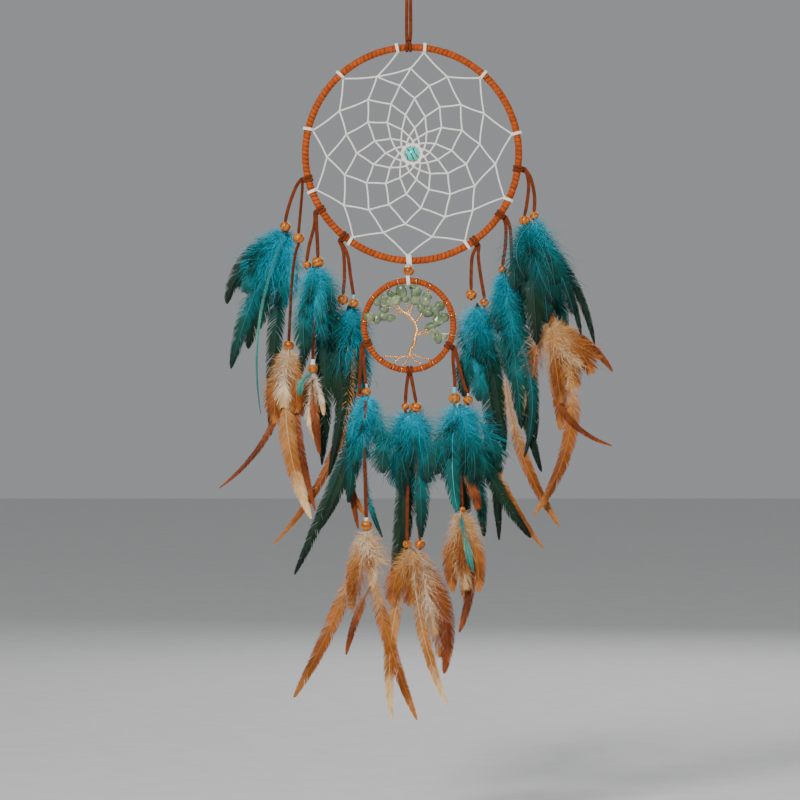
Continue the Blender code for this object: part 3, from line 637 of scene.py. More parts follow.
TASSELS = {
    "left_outer": {
        "hoop": "big",
        "at": 256.6,
        "strands": (
            [(-9, -1, -6), (-14, -1, -19), (-16.5, -1, -31), (-17.2, -1, -36.5)],
            [
                (-4.5, -1, -9), (-6, -1, -27), (-7.2, -1, -44.6), (-9.5, -2, -56), (-12, -2.5, -75),
                (-13.6, -2, -103), (-14.5, -2, -125.5),
            ],
        ),
        "beads": ((0, -36.0, 4.1), (1, -44.6, 4.3), (1, -125.0, 4.0)),
    },
    "left_middle": {
        "hoop": "big",
        "at": 238.6,
        "strands": (
            [(-5, -0.5, -12), (-8.8, -0.5, -27), (-10.6, -0.5, -41.7)],
            [
                (-3.2, -1, -14), (-2.5, -1, -28), (-2.3, -1.5, -39.5), (-3.6, -3, -60), (-5.5, -3, -95),
                (-6, -3, -119.8),
            ],
        ),
        "beads": ((0, -41.5, 3.3), (1, -39.5, 4.5), (1, -119.6, 3.8)),
    },
    "left_inner": {
        "hoop": "big",
        "at": 219.5,
        "strands": (
            [(-0.5, -0.5, -12), (0.2, -0.5, -30), (-0.8, -0.5, -47.5)],
            [(2.5, -0.5, -14), (4.8, -0.5, -30), (7.3, -0.5, -50.3)],
        ),
        "beads": ((0, -47.2, 4.1), (1, -50.0, 3.6)),
    },
    "right_outer": {
        "hoop": "big",
        "at": 97.9,
        "strands": (
            [(7, -0.5, -4), (8.2, -0.5, -14), (6.6, -0.5, -28), (5.2, -0.5, -39.2)],
            [
                (9.6, -1, -7), (12.5, -1, -20), (12.4, -1, -35.4), (17, -3, -55), (21.5, -3, -80),
                (23.8, -3, -111.8),
            ],
        ),
        "beads": ((0, -39.0, 4.1), (1, -35.4, 3.5), (1, -111.6, 3.9)),
    },
    "right_middle": {
        "hoop": "big",
        "at": 124.5,
        "strands": (
            [(4.5, -0.5, -10), (4, -0.5, -24), (2, -0.5, -41.6)],
            [(7.5, -0.5, -10), (8.5, -0.5, -24), (9.2, -0.5, -43)],
        ),
        "beads": ((0, -41.4, 3.2),),
    },
    "right_inner": {
        "hoop": "big",
        "at": 144.3,
        "strands": (
            [(-1.5, -0.5, -12), (-2.4, -0.5, -27), (-2.3, -0.5, -40.8)],
            [(3, -0.5, -12), (5, -0.5, -28), (7.6, -0.5, -46.4)],
        ),
        "beads": ((0, -40.5, 4.2), (1, -46.2, 3.4)),
    },
    "lower_left": {
        "hoop": "small",
        "at": 246.6,
        "strands": (
            [(-5, -0.5, -11), (-5.8, -0.5, -25), (-6.2, -0.5, -40.5)],
            [
                (-2.8, -1, -12), (-2, -1.5, -24), (-0.9, -2, -36.6), (-1.4, -5.4, -45), (-2, -6, -58),
                (-2.2, -6, -80), (-1.6, -6, -110), (-0.9, -5, -137),
            ],
        ),
        "beads": ((1, -36.6, 3.4), (1, -136.7, 4.3)),
    },
    "lower_middle": {
        "hoop": "small",
        "at": 179.0,
        "strands": (
            [
                (-2.4, -0.5, -14), (-3, -1.5, -27.3), (-2.2, -5.5, -40), (-1.2, -7.5, -75),
                (-1.6, -8, -104), (-1.8, -8, -130.4),
            ],
            [
                (3.0, -0.5, -14), (4.8, -1.5, -28), (5, -5.5, -40), (5.2, -7.5, -75), (6.6, -8, -106),
                (7.9, -8, -130.6),
            ],
        ),
        "beads": ((0, -27.3, 3.0), (1, -28.0, 4.3), (0, -130.2, 3.3), (1, -130.4, 4.0)),
    },
    "lower_right": {
        "hoop": "small",
        "at": 116.8,
        "strands": (
            [
                (3.4, -0.5, -12), (4.7, -0.5, -28), (4.3, -1.5, -39.8), (5.2, -6, -52), (8, -7.5, -85),
                (10, -7.5, -123),
            ],
            [(7, -0.5, -12), (11, -0.5, -27), (14.6, -0.5, -41.2)],
        ),
        "beads": ((0, -39.8, 4.5), (1, -41.0, 3.7), (0, -122.8, 2.6)),
    },
}


def path_length(path):
    return float(np.linalg.norm(np.diff(path, axis=0), axis=1).sum())


def strand_piece(name, path, side, node, body, heights, rng):
    """One free strand of suede lace, narrowed where it passes its beads."""
    piece = suede_piece(name, lace_mesh(path, side, heights, rng), body, node, LACE_SUEDE)
    path_length(path) * MM
    return piece


def hitch_piece(name, hoop, degrees, node):
    """The lark's head, which stays on the hoop."""
    wrap = BIG_WRAP if hoop == "big" else SMALL_WRAP
    at = hitch_point(hoop, degrees)
    reach = wrap + LACE_THICK + 0.1
    side = -1 if along(degrees)[0] > 0 else 1
    up = hitch_half(at, degrees, side, reach)
    down = list(reversed(hitch_half(at, degrees, -side, reach)))
    path = smooth_route([*up, *down], 0.45)
    piece = suede_piece(name, sweep(path, LACE_OUTLINE * 0.85, along(degrees)), None, node, LACE_SUEDE)
    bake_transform(piece)
    return up[0], down[-1]


def make_tassel(name, tassel):
    """A lace hitched at its middle, with its two strands and their beads."""
    rng = np.random.default_rng(sum(map(ord, name)))
    body, node = f"{name}_tassel", f"{name}_lace"
    at = hitch_point(tassel["hoop"], tassel["at"])
    starts = hitch_piece(f"{name}_hitch", tassel["hoop"], tassel["at"], node)
    for side, (start, points) in enumerate(zip(starts, tassel["strands"])):
        beads, heights = [], []
        for number, (strand, z, radius) in enumerate(tassel["beads"], 1):
            if strand == side:
                center = at + point_at_height(points, z)
                bead = f"{name}_wood_bead_{number}"
                packed = f"{name}_bead_{number}"
                beads.append(make_bead(bead, center, radius, body, WOOD, rng, node=packed))
                heights.append((center[2], radius * BEAD_HEIGHT_SHARE))
        route = threaded(points, [(z, r) for s, z, r in tassel["beads"] if s == side])
        path = smooth_route([start, *[at + p for p in route]], 2.0)
        strand = f"{name}_strand_{side + 1}"
        strand_piece(strand, path, along(tassel["at"]), node, body, heights, rng)
        if not beads:
            binding(f"{name}_binding", path[-1], body, node)


def binding(name, end, body, node):
    """A few turns of lace that end a strand without a bead and hold the feathers' quills."""
    turns = 3
    a = np.linspace(0, turns * math.tau, turns * 20)
    path = np.stack([1.7 * np.cos(a), 1.3 * np.sin(a), 3.0 - 6.0 * a / a[-1]], 1) + end
    swept = sweep(path, LACE_OUTLINE * np.array([0.62, 0.8]), (0, 0, 1))
    suede_piece(name, swept, body, node, SUEDE)


CRIMPS = {
    "left_middle_bead_3": (1.7, 4.2, WHITE_CRIMP),
    "left_inner_bead_2": (1.3, 3.2, CYAN_STUB),
    "lower_left_bead_1": (1.1, 3.4, SILVER_CRIMP),
    "lower_left_bead_2": (1.6, 2.6, WHITE_CRIMP),
    "lower_right_bead_1": (1.45, 5.0, CYAN_STUB),
    "lower_right_bead_2": (1.15, 1.8, SILVER_CRIMP),
}


def make_crimps():
    """The small sleeves that stop a few of the beads from above."""
    for bead, (radius, height, material) in CRIMPS.items():
        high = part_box(bead)[1][2] / MM
        center = node_middle(bead)
        center[2] = high + height / 2 + 0.1
        body = bead.split("_bead")[0] + "_tassel"
        crimp(f"{bead}_crimp", center, radius, height, body, material)


LOOP_RADIUS = 7.0
LOOP_HEIGHT = -6.0
KNOT = np.array([0.0, 0.0, -16.0])
KNOT_SIZE = np.array([3.4, 2.6, 3.6])


def make_hanger():
    """The loop for the nail with its knot, and the doubled lace down to its hitch on the big hoop."""
    a = np.linspace(0, math.tau, 90, endpoint=False) + math.pi
    ring = np.stack([LOOP_RADIUS * np.sin(a), 0 * a, LOOP_HEIGHT + LOOP_RADIUS * np.cos(a)], 1)
    ring = np.vstack([ring, ring[:1]])
    swept = sweep(ring, LACE_OUTLINE[:, ::-1] * np.array([1.0, 0.95]), (0, 0, 1))
    suede_piece("lace_loop", swept, "hanging_loop", "hanging_loop", SUEDE)
    t = np.linspace(0, math.tau, 140, endpoint=False)
    x = np.sin(t) + 2 * np.sin(2 * t)
    z = np.cos(t) - 2 * np.cos(2 * t)
    trefoil = np.stack([x, 1.3 * np.sin(3 * t), z], 1)
    path = trefoil / 3.0 * (KNOT_SIZE - 1.0) + KNOT
    path = np.vstack([path, path[:1]])
    swept = sweep(path, LACE_OUTLINE * 0.9, (0, 1, 0))
    suede_piece("lace_knot", swept, "hanging_loop", "hanging_loop", SUEDE)
    rng = np.random.default_rng(5)
    name = "hanging_lace"
    starts = hitch_piece("hanging_hitch", "big", HANG_DEG, name)
    at = hitch_point("big", HANG_DEG)
    for number, start in enumerate(starts, 1):
        side = 1 if start[0] > at[0] else -1
        top = np.array([side * 1.3, 0.0, KNOT[2] - KNOT_SIZE[2] - 0.3])
        middle = at + np.array([side * LACE_SPREAD, -0.5, 14.0])
        path = smooth_route([start, middle, top], 2.0)
        strand_piece(f"{name}_{number}", path, (1, 0, 0), name, name, (), rng)


for tassel_name, tassel_facts in TASSELS.items():
    make_tassel(tassel_name, tassel_facts)
make_hanger()
make_crimps()

# Hoops: a lace wound round and round over the steel ring

BIG_TURNS = 157
SMALL_TURNS = 89
TURN_STEPS = 22
TURN_TILT = 0.16
TURN_OUTLINE = [(-1, -0.35), (-0.9, 0.25), (-0.45, 0.5), (0.15, 0.55), (0.7, 0.38), (1, -0.05)]
TURN_OUTLINE += [(0.9, -0.5), (0, -0.6), (-0.9, -0.6)]
# Painted shade round each turn's outline: lightest on its crown, darkest at its edges and underneath, in the
# grooves between turns
TURN_SHADE = np.array([0.35, 0.55, 0.9, 1.0, 0.9, 0.6, 0.3, 0.2, 0.2])


def wound_hoop(name, center, radius, wrap, turns, seed):
    """The sleeve as one lace in a helix, each turn a little different from the last."""
    rng = np.random.default_rng(seed)
    count = turns * TURN_STEPS
    turn = np.arange(count + 1) / TURN_STEPS

    def by_turn(values):
        return np.interp(turn, np.arange(turns + 1), values)

    swell = by_turn(rng.normal(0, 0.05, turns + 1))
    slip = by_turn(rng.normal(0, 0.05, turns + 1))
    hoop = math.radians(HANG_DEG) + (turn + slip) / turns * math.tau
    around = turn * math.tau
    lift = wrap - 0.45 + swell
    out = np.stack([np.sin(hoop), 0 * hoop, np.cos(hoop)], 1)
    tangent = np.stack([np.cos(hoop), 0 * hoop, -np.sin(hoop)], 1)
    normal = out * np.cos(around)[:, None] + DEPTH * np.sin(around)[:, None]
    spot = center + out * radius + normal * lift[:, None]
    width = (radius * math.tau / turns) * (0.56 + by_turn(rng.normal(0, 0.02, turns + 1)))
    stretch = 1 + np.cos(around) * wrap / radius
    points = []
    for u, v in TURN_OUTLINE:
        across = tangent * (u * width * stretch)[:, None]
        points.append(spot + across + normal * (0.9 * v - TURN_TILT * u + 0.05))
    points = np.stack(points, 1)
    tone = by_turn(rng.uniform(0.8, 1.0, turns + 1))
    # shade: each turn's painted shade times a tone that differs at random from turn to turn
    attributes = {"shade": (tone[:, None] * TURN_SHADE[None, :]).ravel()}
    for end in (0, -1):
        points[end] = points[end].mean(0) * 0.98 + points[end] * 0.02
    quads = grid_quads(count + 1, len(TURN_OUTLINE))
    flat = points.reshape(-1, 3)
    make_piece(f"{name}_winding", flat, quads, name, (f"{name}_wrap",), SUEDE, attributes)


wound_hoop("big_hoop", BIG_CENTER, BIG_RADIUS, BIG_WRAP, BIG_TURNS, 3)
wound_hoop("small_hoop", SMALL_CENTER, SMALL_RADIUS, SMALL_WRAP, SMALL_TURNS, 4)

# Thread: the web, its knots and the link's cord

THREAD_RADIUS = 0.62
WEB_HITCHES_DEG = (6.7, 41.9, 78.7, 115.2, 148.7, 182.6, 215.2, 249.3, 283.3, 317.6, 351.8)
LINK_HITCH_DEG = 182.6
WEB_ROUNDS = (0.812, 0.656, 0.495, 0.333, 0.188, 0.096, 0.043, 0.0)
WEB_DRIFT_DEG = (0.8, 3.0, 4.5, 5.5, 6.0, 6.0, 6.0, 6.0)
WEB_BOW = 0.022
FINE_THREAD = 0.5
KNOT_THREAD = 0.42
CENTER_BEAD = 5.2
LINK_BEAD = 4.3
LINK_BAND_THREAD = 0.75
LINK_THREAD = 0.52


def run_along(path):
    """The length of a path up to each of its points."""
    return np.concatenate([[0], np.cumsum(np.linalg.norm(np.diff(path, axis=0), axis=1))])


PLIES = 2
PLY_RIDGE = 0.16
ACROSS_WEB = (0.13, 0.9, 0.41)


def twisted(path, radius, pitch=1.5, sides=8, spacing=0.35):
    """A twisted thread along a path: a lobed outline that turns as it goes, with its lay as an attribute."""
    lengths = run_along(path)
    count = max(3, int(lengths[-1] / spacing) + 1)
    at = np.linspace(0, lengths[-1], count)
    path = np.stack([np.interp(at, lengths, path[:, k]) for k in range(3)], 1)
    _, s, n = frames(path, ACROSS_WEB)
    a = (np.arange(sides) * math.tau / sides)[None, :]
    lobe = np.cos(PLIES * (a - at[:, None] * math.tau / pitch))
    r = radius * (1 + PLY_RIDGE * lobe)
    r[[0, -1]] *= 0.3
    points = path[:, None, :] + (r * np.cos(a))[..., None] * s[:, None]
    points = points + (r * np.sin(a))[..., None] * n[:, None]
    return points.reshape(-1, 3), grid_quads(count, sides), (lobe * math.pi / 2).ravel()


def thread_piece(name, tubes, body, node, material):
    points, quads = joined([(p, q) for p, q, _ in tubes])
    lay = np.concatenate([value for _, _, value in tubes])
    return make_piece(name, points, quads, body, (node,), material, {"shade": lay})


def coil(center, axis, side, radius, turns, pitch, steps=18):
    """A helix of some turns round an axis."""
    axis, side = unit(np.asarray(axis, float)), unit(np.asarray(side, float))
    other = np.cross(axis, side)
    a = np.linspace(0, turns * math.tau, int(turns * steps) + 1)
    lift = (a / math.tau - turns / 2) * pitch
    ring = np.cos(a)[:, None] * side + np.sin(a)[:, None] * other
    return center + ring * radius + axis * lift[:, None]


def web_nodes():
    """The web's crossings, round by round: the hitches on the hoop first, then each round's middles."""
    tip = BIG_RADIUS - BIG_WRAP - GAP - THREAD_RADIUS
    inner = CENTER_BEAD + 0.8 + THREAD_RADIUS
    angles = list(WEB_HITCHES_DEG)
    rounds = [(tip, angles)]
    for share, drift in zip(WEB_ROUNDS, WEB_DRIFT_DEG):
        following = angles[1:] + [angles[0] + 360.0]
        angles = [(a + b) / 2 for a, b in zip(angles, following)]
        rounds.append((inner + (tip - inner) * share, [a + drift for a in angles]))
    return rounds


def web_edge(a, b, rng):
    """A thread between two crossings, with the faint sag and bow of a hand-tied net."""
    middle = (a + b) / 2 + np.array([0, rng.normal(0, 0.25), 0])
    inward = unit(BIG_CENTER - middle)
    middle = middle + inward * WEB_BOW * np.linalg.norm(b - a)
    return twisted(smooth_route([a, middle, b], 0.8), THREAD_RADIUS)


def make_web():
    rng = np.random.default_rng(11)
    rounds = web_nodes()
    grid = []
    for k, (r, row) in enumerate(rounds):
        jitter = 0.0 if k == 0 else min(0.8, 0.012 * r)
        nodes = []
        for a in row:
            node = BIG_CENTER + outward(a) * (r + rng.normal(0, jitter))
            nodes.append(node + along(a) * rng.normal(0, jitter))
        grid.append(nodes)
    last = len(WEB_HITCHES_DEG) - 1
    tubes = []
    for k in range(len(grid) - 1):
        for i, node in enumerate(grid[k]):
            tubes.append(web_edge(node, grid[k + 1][i - 1], rng))
            if k or i != last:
                tubes.append(web_edge(node, grid[k + 1][i], rng))
    tubes.append(web_edge(grid[1][last - 1], grid[1][last], rng))
    for i, node in enumerate(grid[-1]):
        tubes.append(web_edge(grid[-1][i - 1], node, rng))
    for a, node in zip(rounds[0][1], grid[0]):
        if a == LINK_HITCH_DEG:
            tubes.append(twisted(coil(node, along(a), outward(a), 0.8, 1.5, 0.8, 14), FINE_THREAD))
            continue
        at = BIG_CENTER + outward(a) * BIG_RADIUS
        route = coil(at, along(a), -outward(a), BIG_WRAP + GAP + THREAD_RADIUS - 0.1, 2, 1.05)
        tubes.append(twisted(route, THREAD_RADIUS))
        tubes.append(twisted(np.array([route[0], node]), THREAD_RADIUS))
    for (_, angles), row in zip(rounds[1:-1], grid[1:-1]):
        for a, node in zip(angles, row):
            knot = coil(node, along(a), outward(a), 0.75, 1.5, 0.8, 14)
            tubes.append(twisted(knot, KNOT_THREAD, spacing=0.4, sides=6))
    inner = rounds[-1][0]
    strand = np.array([BIG_CENTER + outward(0) * inner, BIG_CENTER + outward(180) * inner])
    tubes.append(twisted(strand, THREAD_RADIUS))
    for lap in (0.25, 1.0):
        ring = [BIG_CENTER + outward(a) * (inner + lap + rng.normal(0, 0.2)) for a in range(0, 361, 24)]
        ring[-1] = ring[0]
        tubes.append(twisted(smooth_route(ring, 0.6), FINE_THREAD))
    thread_piece("web_net", tubes, "big_hoop", "web_thread", THREAD)


def make_link():
    """The cord round both hoops, with its bead between them."""
    low_x = SMALL_CENTER[0]
    top = np.array([low_x, 0.0, hitch_point("big", 181.8)[2]])
    bottom = hitch_point("small", 0.0)
    big_ring, small_ring = BIG_WRAP + GAP + 0.8, SMALL_WRAP + GAP + 0.8
    tubes = []
    for at, ring, flip, turns in ((top, big_ring, -1, 3), (bottom, small_ring, 1, 2)):
        route = coil(at, (1, 0, 0), (0, 0, flip), ring - 0.1, turns, 1.3, 26)
        tubes.append(twisted(route, LINK_BAND_THREAD, 2.2, sides=10))
    under = top[2] - big_ring - 0.8
    tail = [(low_x + 0.9, -0.9, under), (low_x - 0.6, -1.5, under - 0.5), (low_x - 2.6, -1.3, under + 0.1)]
    tubes.append(twisted(smooth_route(tail, 0.4), 0.6, 1.8))
    for side in (-0.42, 0.42):
        ends = [(low_x + side, 0.0, top[2] - big_ring), (low_x + side, 0.0, bottom[2] + small_ring)]
        tubes.append(twisted(np.array(ends), LINK_THREAD, 1.8))
    thread_piece("link_twine", tubes, "link", "link_cord", THREAD)
    rng = np.random.default_rng(21)
    half = node_size("link_bead")[2] / 2
    center = node_middle("link_bead")
    make_bead("hoop_bead", center, LINK_BEAD, "link", WOOD, rng, 1.1, half, "link_bead")
    half = node_size("center_bead")[2] / 2
    name = "center_bead"
    make_bead("web_bead", BIG_CENTER, CENTER_BEAD, name, TURQUOISE, rng, 0.8, half, name)


make_web()
make_link()

# Tree of life: twisted wires and stone chips, in millimetres from the small hoop's centre

WIRE = 0.4
RIM_WIRE = 0.33
TRUNK_LINE = [
    (0.3, -23.5), (0.8, -20.6), (3.7, -14.5), (4.9, -8.3), (6.1, -3.5), (4.3, 1.7), (0.8, 6.2),
    (-2.9, 9.2),
]
BRANCHES = {
    "left": (275.0, [(-2.9, 9.2), (-7.5, 9.5), (-13.2, 5.5), (-19.2, 6.2), (-25.0, 5.0)]),
    "upper_left": (308.0, [(-2.9, 9.2), (-8.5, 12.5), (-15.5, 13.5), (-20.5, 14.5)]),
    "high_left": (332.0, [(-2.9, 9.2), (-8.5, 14.5), (-12.3, 19.5), (-12.8, 23.0)]),
    "high": (346.0, [(0.8, 6.2), (-1.0, 14.0), (-3.5, 20.0), (-5.0, 25.5)]),
    "middle": (10.0, [(0.8, 6.2), (1.8, 11.7), (4.4, 19.7), (5.0, 25.4)]),
    "high_right": (28.0, [(4.3, 1.7), (9.0, 7.0), (10.5, 13.0), (12.8, 18.5), (14.0, 23.0)]),
    "right": (60.0, [(4.3, 1.7), (9.5, 7.5), (15.0, 9.6), (20.5, 11.5)]),
    "low_right": (77.0, [(4.9, -8.3), (11.0, -4.5), (17.5, -0.6), (22.5, 3.6)]),
    "lower_right": (103.0, [(4.9, -8.3), (13.0, -5.5), (18.3, -5.8), (22.5, -7.5)]),
}
ROOTS = {
    "left": (219.0, [(0.3, -22.5), (-6.6, -23.8), (-16.0, -23.5)]),
    "low_left": (200.5, [(0.3, -22.5), (-6.6, -24.5), (-9.5, -27.0)]),
    "low": (189.0, [(0.3, -22.5), (-2.2, -28.0)]),
    "low_right": (162.4, [(0.8, -21.0), (4.5, -26.5), (8.5, -28.5)]),
    "right": (147.0, [(0.8, -21.0), (8.5, -24.0), (14.5, -25.5)]),
}


def in_hoop(points):
    return [SMALL_CENTER + np.array([x, 0.0, z]) for x, z in points]


ACROSS_TREE = (0.1, 0.9, 0.3)


def plain_tube(path, radius):
    return sweep(path, round_outline(radius, 8), ACROSS_TREE)


def stranded(path, radius, wires, pitch):
    """Several wires wound round each other along a path."""
    path = smooth_route(path, 0.35)
    _, s, n = frames(path, ACROSS_TREE)
    run = run_along(path)
    tubes = []
    for w in range(wires):
        a = run * math.tau / pitch + math.tau * w / wires
        line = path + (np.cos(a)[:, None] * s + np.sin(a)[:, None] * n) * radius
        tubes.append(plain_tube(line, WIRE))
    return tubes


def make_tree():
    reach = SMALL_RADIUS - SMALL_WRAP - GAP - WIRE
    tubes = stranded(in_hoop(TRUNK_LINE), 1.0, 7, 11.0)
    tubes += stranded(in_hoop(TRUNK_LINE), 0.35, 2, 9.0)
    for lines in (BRANCHES, ROOTS):
        for turn, points in lines.values():
            end = SMALL_CENTER + outward(turn) * reach
            tubes += stranded([*in_hoop(points), end], WIRE, 2, 3.4)
            at = SMALL_CENTER + outward(turn) * SMALL_RADIUS
            wrap = coil(at, along(turn), -outward(turn), SMALL_WRAP + RIM_WIRE + 0.25, 1.5, 1.0, 22)
            tubes.append(plain_tube(wrap, RIM_WIRE))
    points, quads = joined(tubes)
    make_piece("wire_tree", points, quads, "small_hoop", ("tree_wire",), COPPER, {})


# Each chip: place across and up from the hoop's centre, width and height
CHIPS = {
    "left": [
        (-30.0, 6.2, 6.6, 6.0), (-24.5, 4.7, 6.0, 6.8), (-19.2, 6.2, 6.0, 6.8), (-13.2, 5.5, 6.0, 5.4),
        (-18.5, 12.2, 6.8, 5.6), (-14.7, 17.5, 5.4, 6.8), (-9.5, 18.9, 7.0, 6.4),
        (-12.8, 23.4, 6.8, 5.4), (-18.4, 20.1, 4.8, 7.4), (-23.7, 17.5, 5.4, 5.4),
    ],
    "top": [
        (-5.0, 25.7, 7.6, 9.6), (-2.7, 19.7, 4.8, 5.4), (3.3, 28.6, 4.8, 4.0), (5.2, 25.2, 7.6, 7.4),
        (4.8, 19.7, 7.4, 7.4), (13.0, 17.5, 6.2, 7.6), (14.3, 22.3, 6.8, 4.8), (9.3, 13.0, 4.8, 8.2),
    ],
    "right": [
        (13.8, 9.2, 7.5, 5.6), (19.5, 11.0, 7.5, 7.5), (22.8, 14.5, 7.4, 6.6), (17.5, -0.2, 10.2, 5.4),
        (22.0, 3.6, 8.2, 7.6), (27.0, 6.2, 5.4, 6.8), (18.3, -5.8, 5.4, 6.8), (22.0, -8.8, 5.4, 8.6),
        (26.5, -8.0, 4.4, 4.4),
    ],
}


RIM_CHIP_FRONT = -3.6


def make_chip(name, center, width, height, node, rng):
    """A tumbled stone: a ball cut by a dozen planes, with its edges worn round."""
    rows, columns = 22, 30
    theta = np.linspace(0.02, math.pi - 0.02, rows)[:, None]
    phi = (np.arange(columns) * math.tau / columns)[None, :]
    ray = [np.sin(theta) * np.cos(phi), np.sin(theta) * np.sin(phi), np.cos(theta) + 0 * phi]
    ray = np.stack(ray, -1)
    planes = unit(rng.normal(size=(11, 3)))
    reach = rng.uniform(0.66, 1.0, 11)
    cut = np.clip(ray @ planes.T, 0, None) / reach
    radius = ((cut**16).sum(-1) + 0.6) ** (-1 / 16)
    size = np.array([width / 2, rng.uniform(2.2, 2.9), height / 2]) * 1.22
    spin = rng.normal(0, 0.25)
    shape = ray * radius[..., None] * size
    x = shape[..., 0] * math.cos(spin) - shape[..., 2] * math.sin(spin)
    z = shape[..., 0] * math.sin(spin) + shape[..., 2] * math.cos(spin)
    shape = np.stack([x, shape[..., 1], z], -1).reshape(-1, 3)
    tone = np.full(len(shape), rng.uniform(0, 1))
    quads = grid_quads(rows, columns)
    make_piece(name, shape + center, quads, "small_hoop", (node,), STONE, {"shade": tone})


def make_chips():
    rng = np.random.default_rng(31)
    for group, places in CHIPS.items():
        for number, (x, z, width, height) in enumerate(places, 1):
            over_rim = math.hypot(x, z) + 0.35 * width > SMALL_RADIUS - SMALL_WRAP
            front = RIM_CHIP_FRONT if over_rim else rng.normal(0, 0.5)
            center = SMALL_CENTER + np.array([x, front, z])
            make_chip(f"chip_{group}_{number}", center, width, height, f"stone_chips_{group}", rng)


make_tree()
make_chips()

# Feathers

SEGMENTS = 6
DEPTH_LIMIT = 9.5
BARBS_PER_MM = 1.7
FEWEST_BARBS = 36
MOST_BARBS = 220
DOWN_PER_MM = 3.0
LEAST_DOWN = 14
CLUMPS = 18
# A vane narrows to its tip by this power, more for each millimetre that it is wider than this
TIP_POWER = 0.62
WIDE_TIP_POWER = 0.06
WIDE_FROM = 6
QUILL_STEPS = 30
QUILL_SIDES = 6
# Each side's strip of the surface map, for the vane's barbs and for the loose down
VANE_BANDS = ((-1, (0.01, 0.34)), (1, (0.36, 0.69)))
DOWN_BANDS = ((-1, (0.71, 0.83)), (1, (0.85, 0.97)))
QUILL_BAND = 0.975


def smoothstep(low, high, x):
    t = np.clip((x - low) / (high - low), 0, 1)
    return t * t * (3 - 2 * t)


def spine_of(start, end, bow, sway):
    """A quill's line: a smooth bow from root to tip, given as a function of its share along."""
    chord = end - start
    right = unit(np.array([chord[2], 0.0, -chord[0]])) * -1
    control = (start + end) / 2 + right * 2 * bow + DEPTH * 2 * sway

    def place(s):
        s = s[:, None]
        return (1 - s) ** 2 * start + 2 * s * (1 - s) * control + s**2 * end

    def heading(s):
        s = s[:, None]
        return unit((1 - s) * (control - start) + s * (end - control))

    return place, heading


def ribbons(root, aim, lean, length, width, curl, wave, rise, side, rng):
    """Barbs as thin ribbons that leave the quill at an angle and curve towards its tip."""
    n = len(root)
    t = np.linspace(0, 1, SEGMENTS + 1)[None, :]
    across = np.cross(aim, DEPTH) * side
    angle = lean[:, None] - curl[:, None] * t
    angle = angle + wave[:, None] * np.sin(t * 7.0 + rng.uniform(0, 6, (n, 1)))
    step = length[:, None] / SEGMENTS
    ahead = np.cumsum(np.cos(angle) * step, 1) - np.cos(angle) * step
    aside = np.cumsum(np.sin(angle) * step, 1) - np.sin(angle) * step
    lift = rise[:, None] * t**1.6 * length[:, None]
    line = root[:, None] + ahead[..., None] * aim[:, None] + aside[..., None] * across[:, None]
    line = line + lift[..., None] * DEPTH
    edge = -np.sin(angle)[..., None] * aim[:, None] + np.cos(angle)[..., None] * across[:, None]
    edge = edge * 0.95 + DEPTH * 0.3
    half = width[:, None] * (1 - 0.8 * t**1.5)
    return np.stack([line - edge * half[..., None], line + edge * half[..., None]], 2)


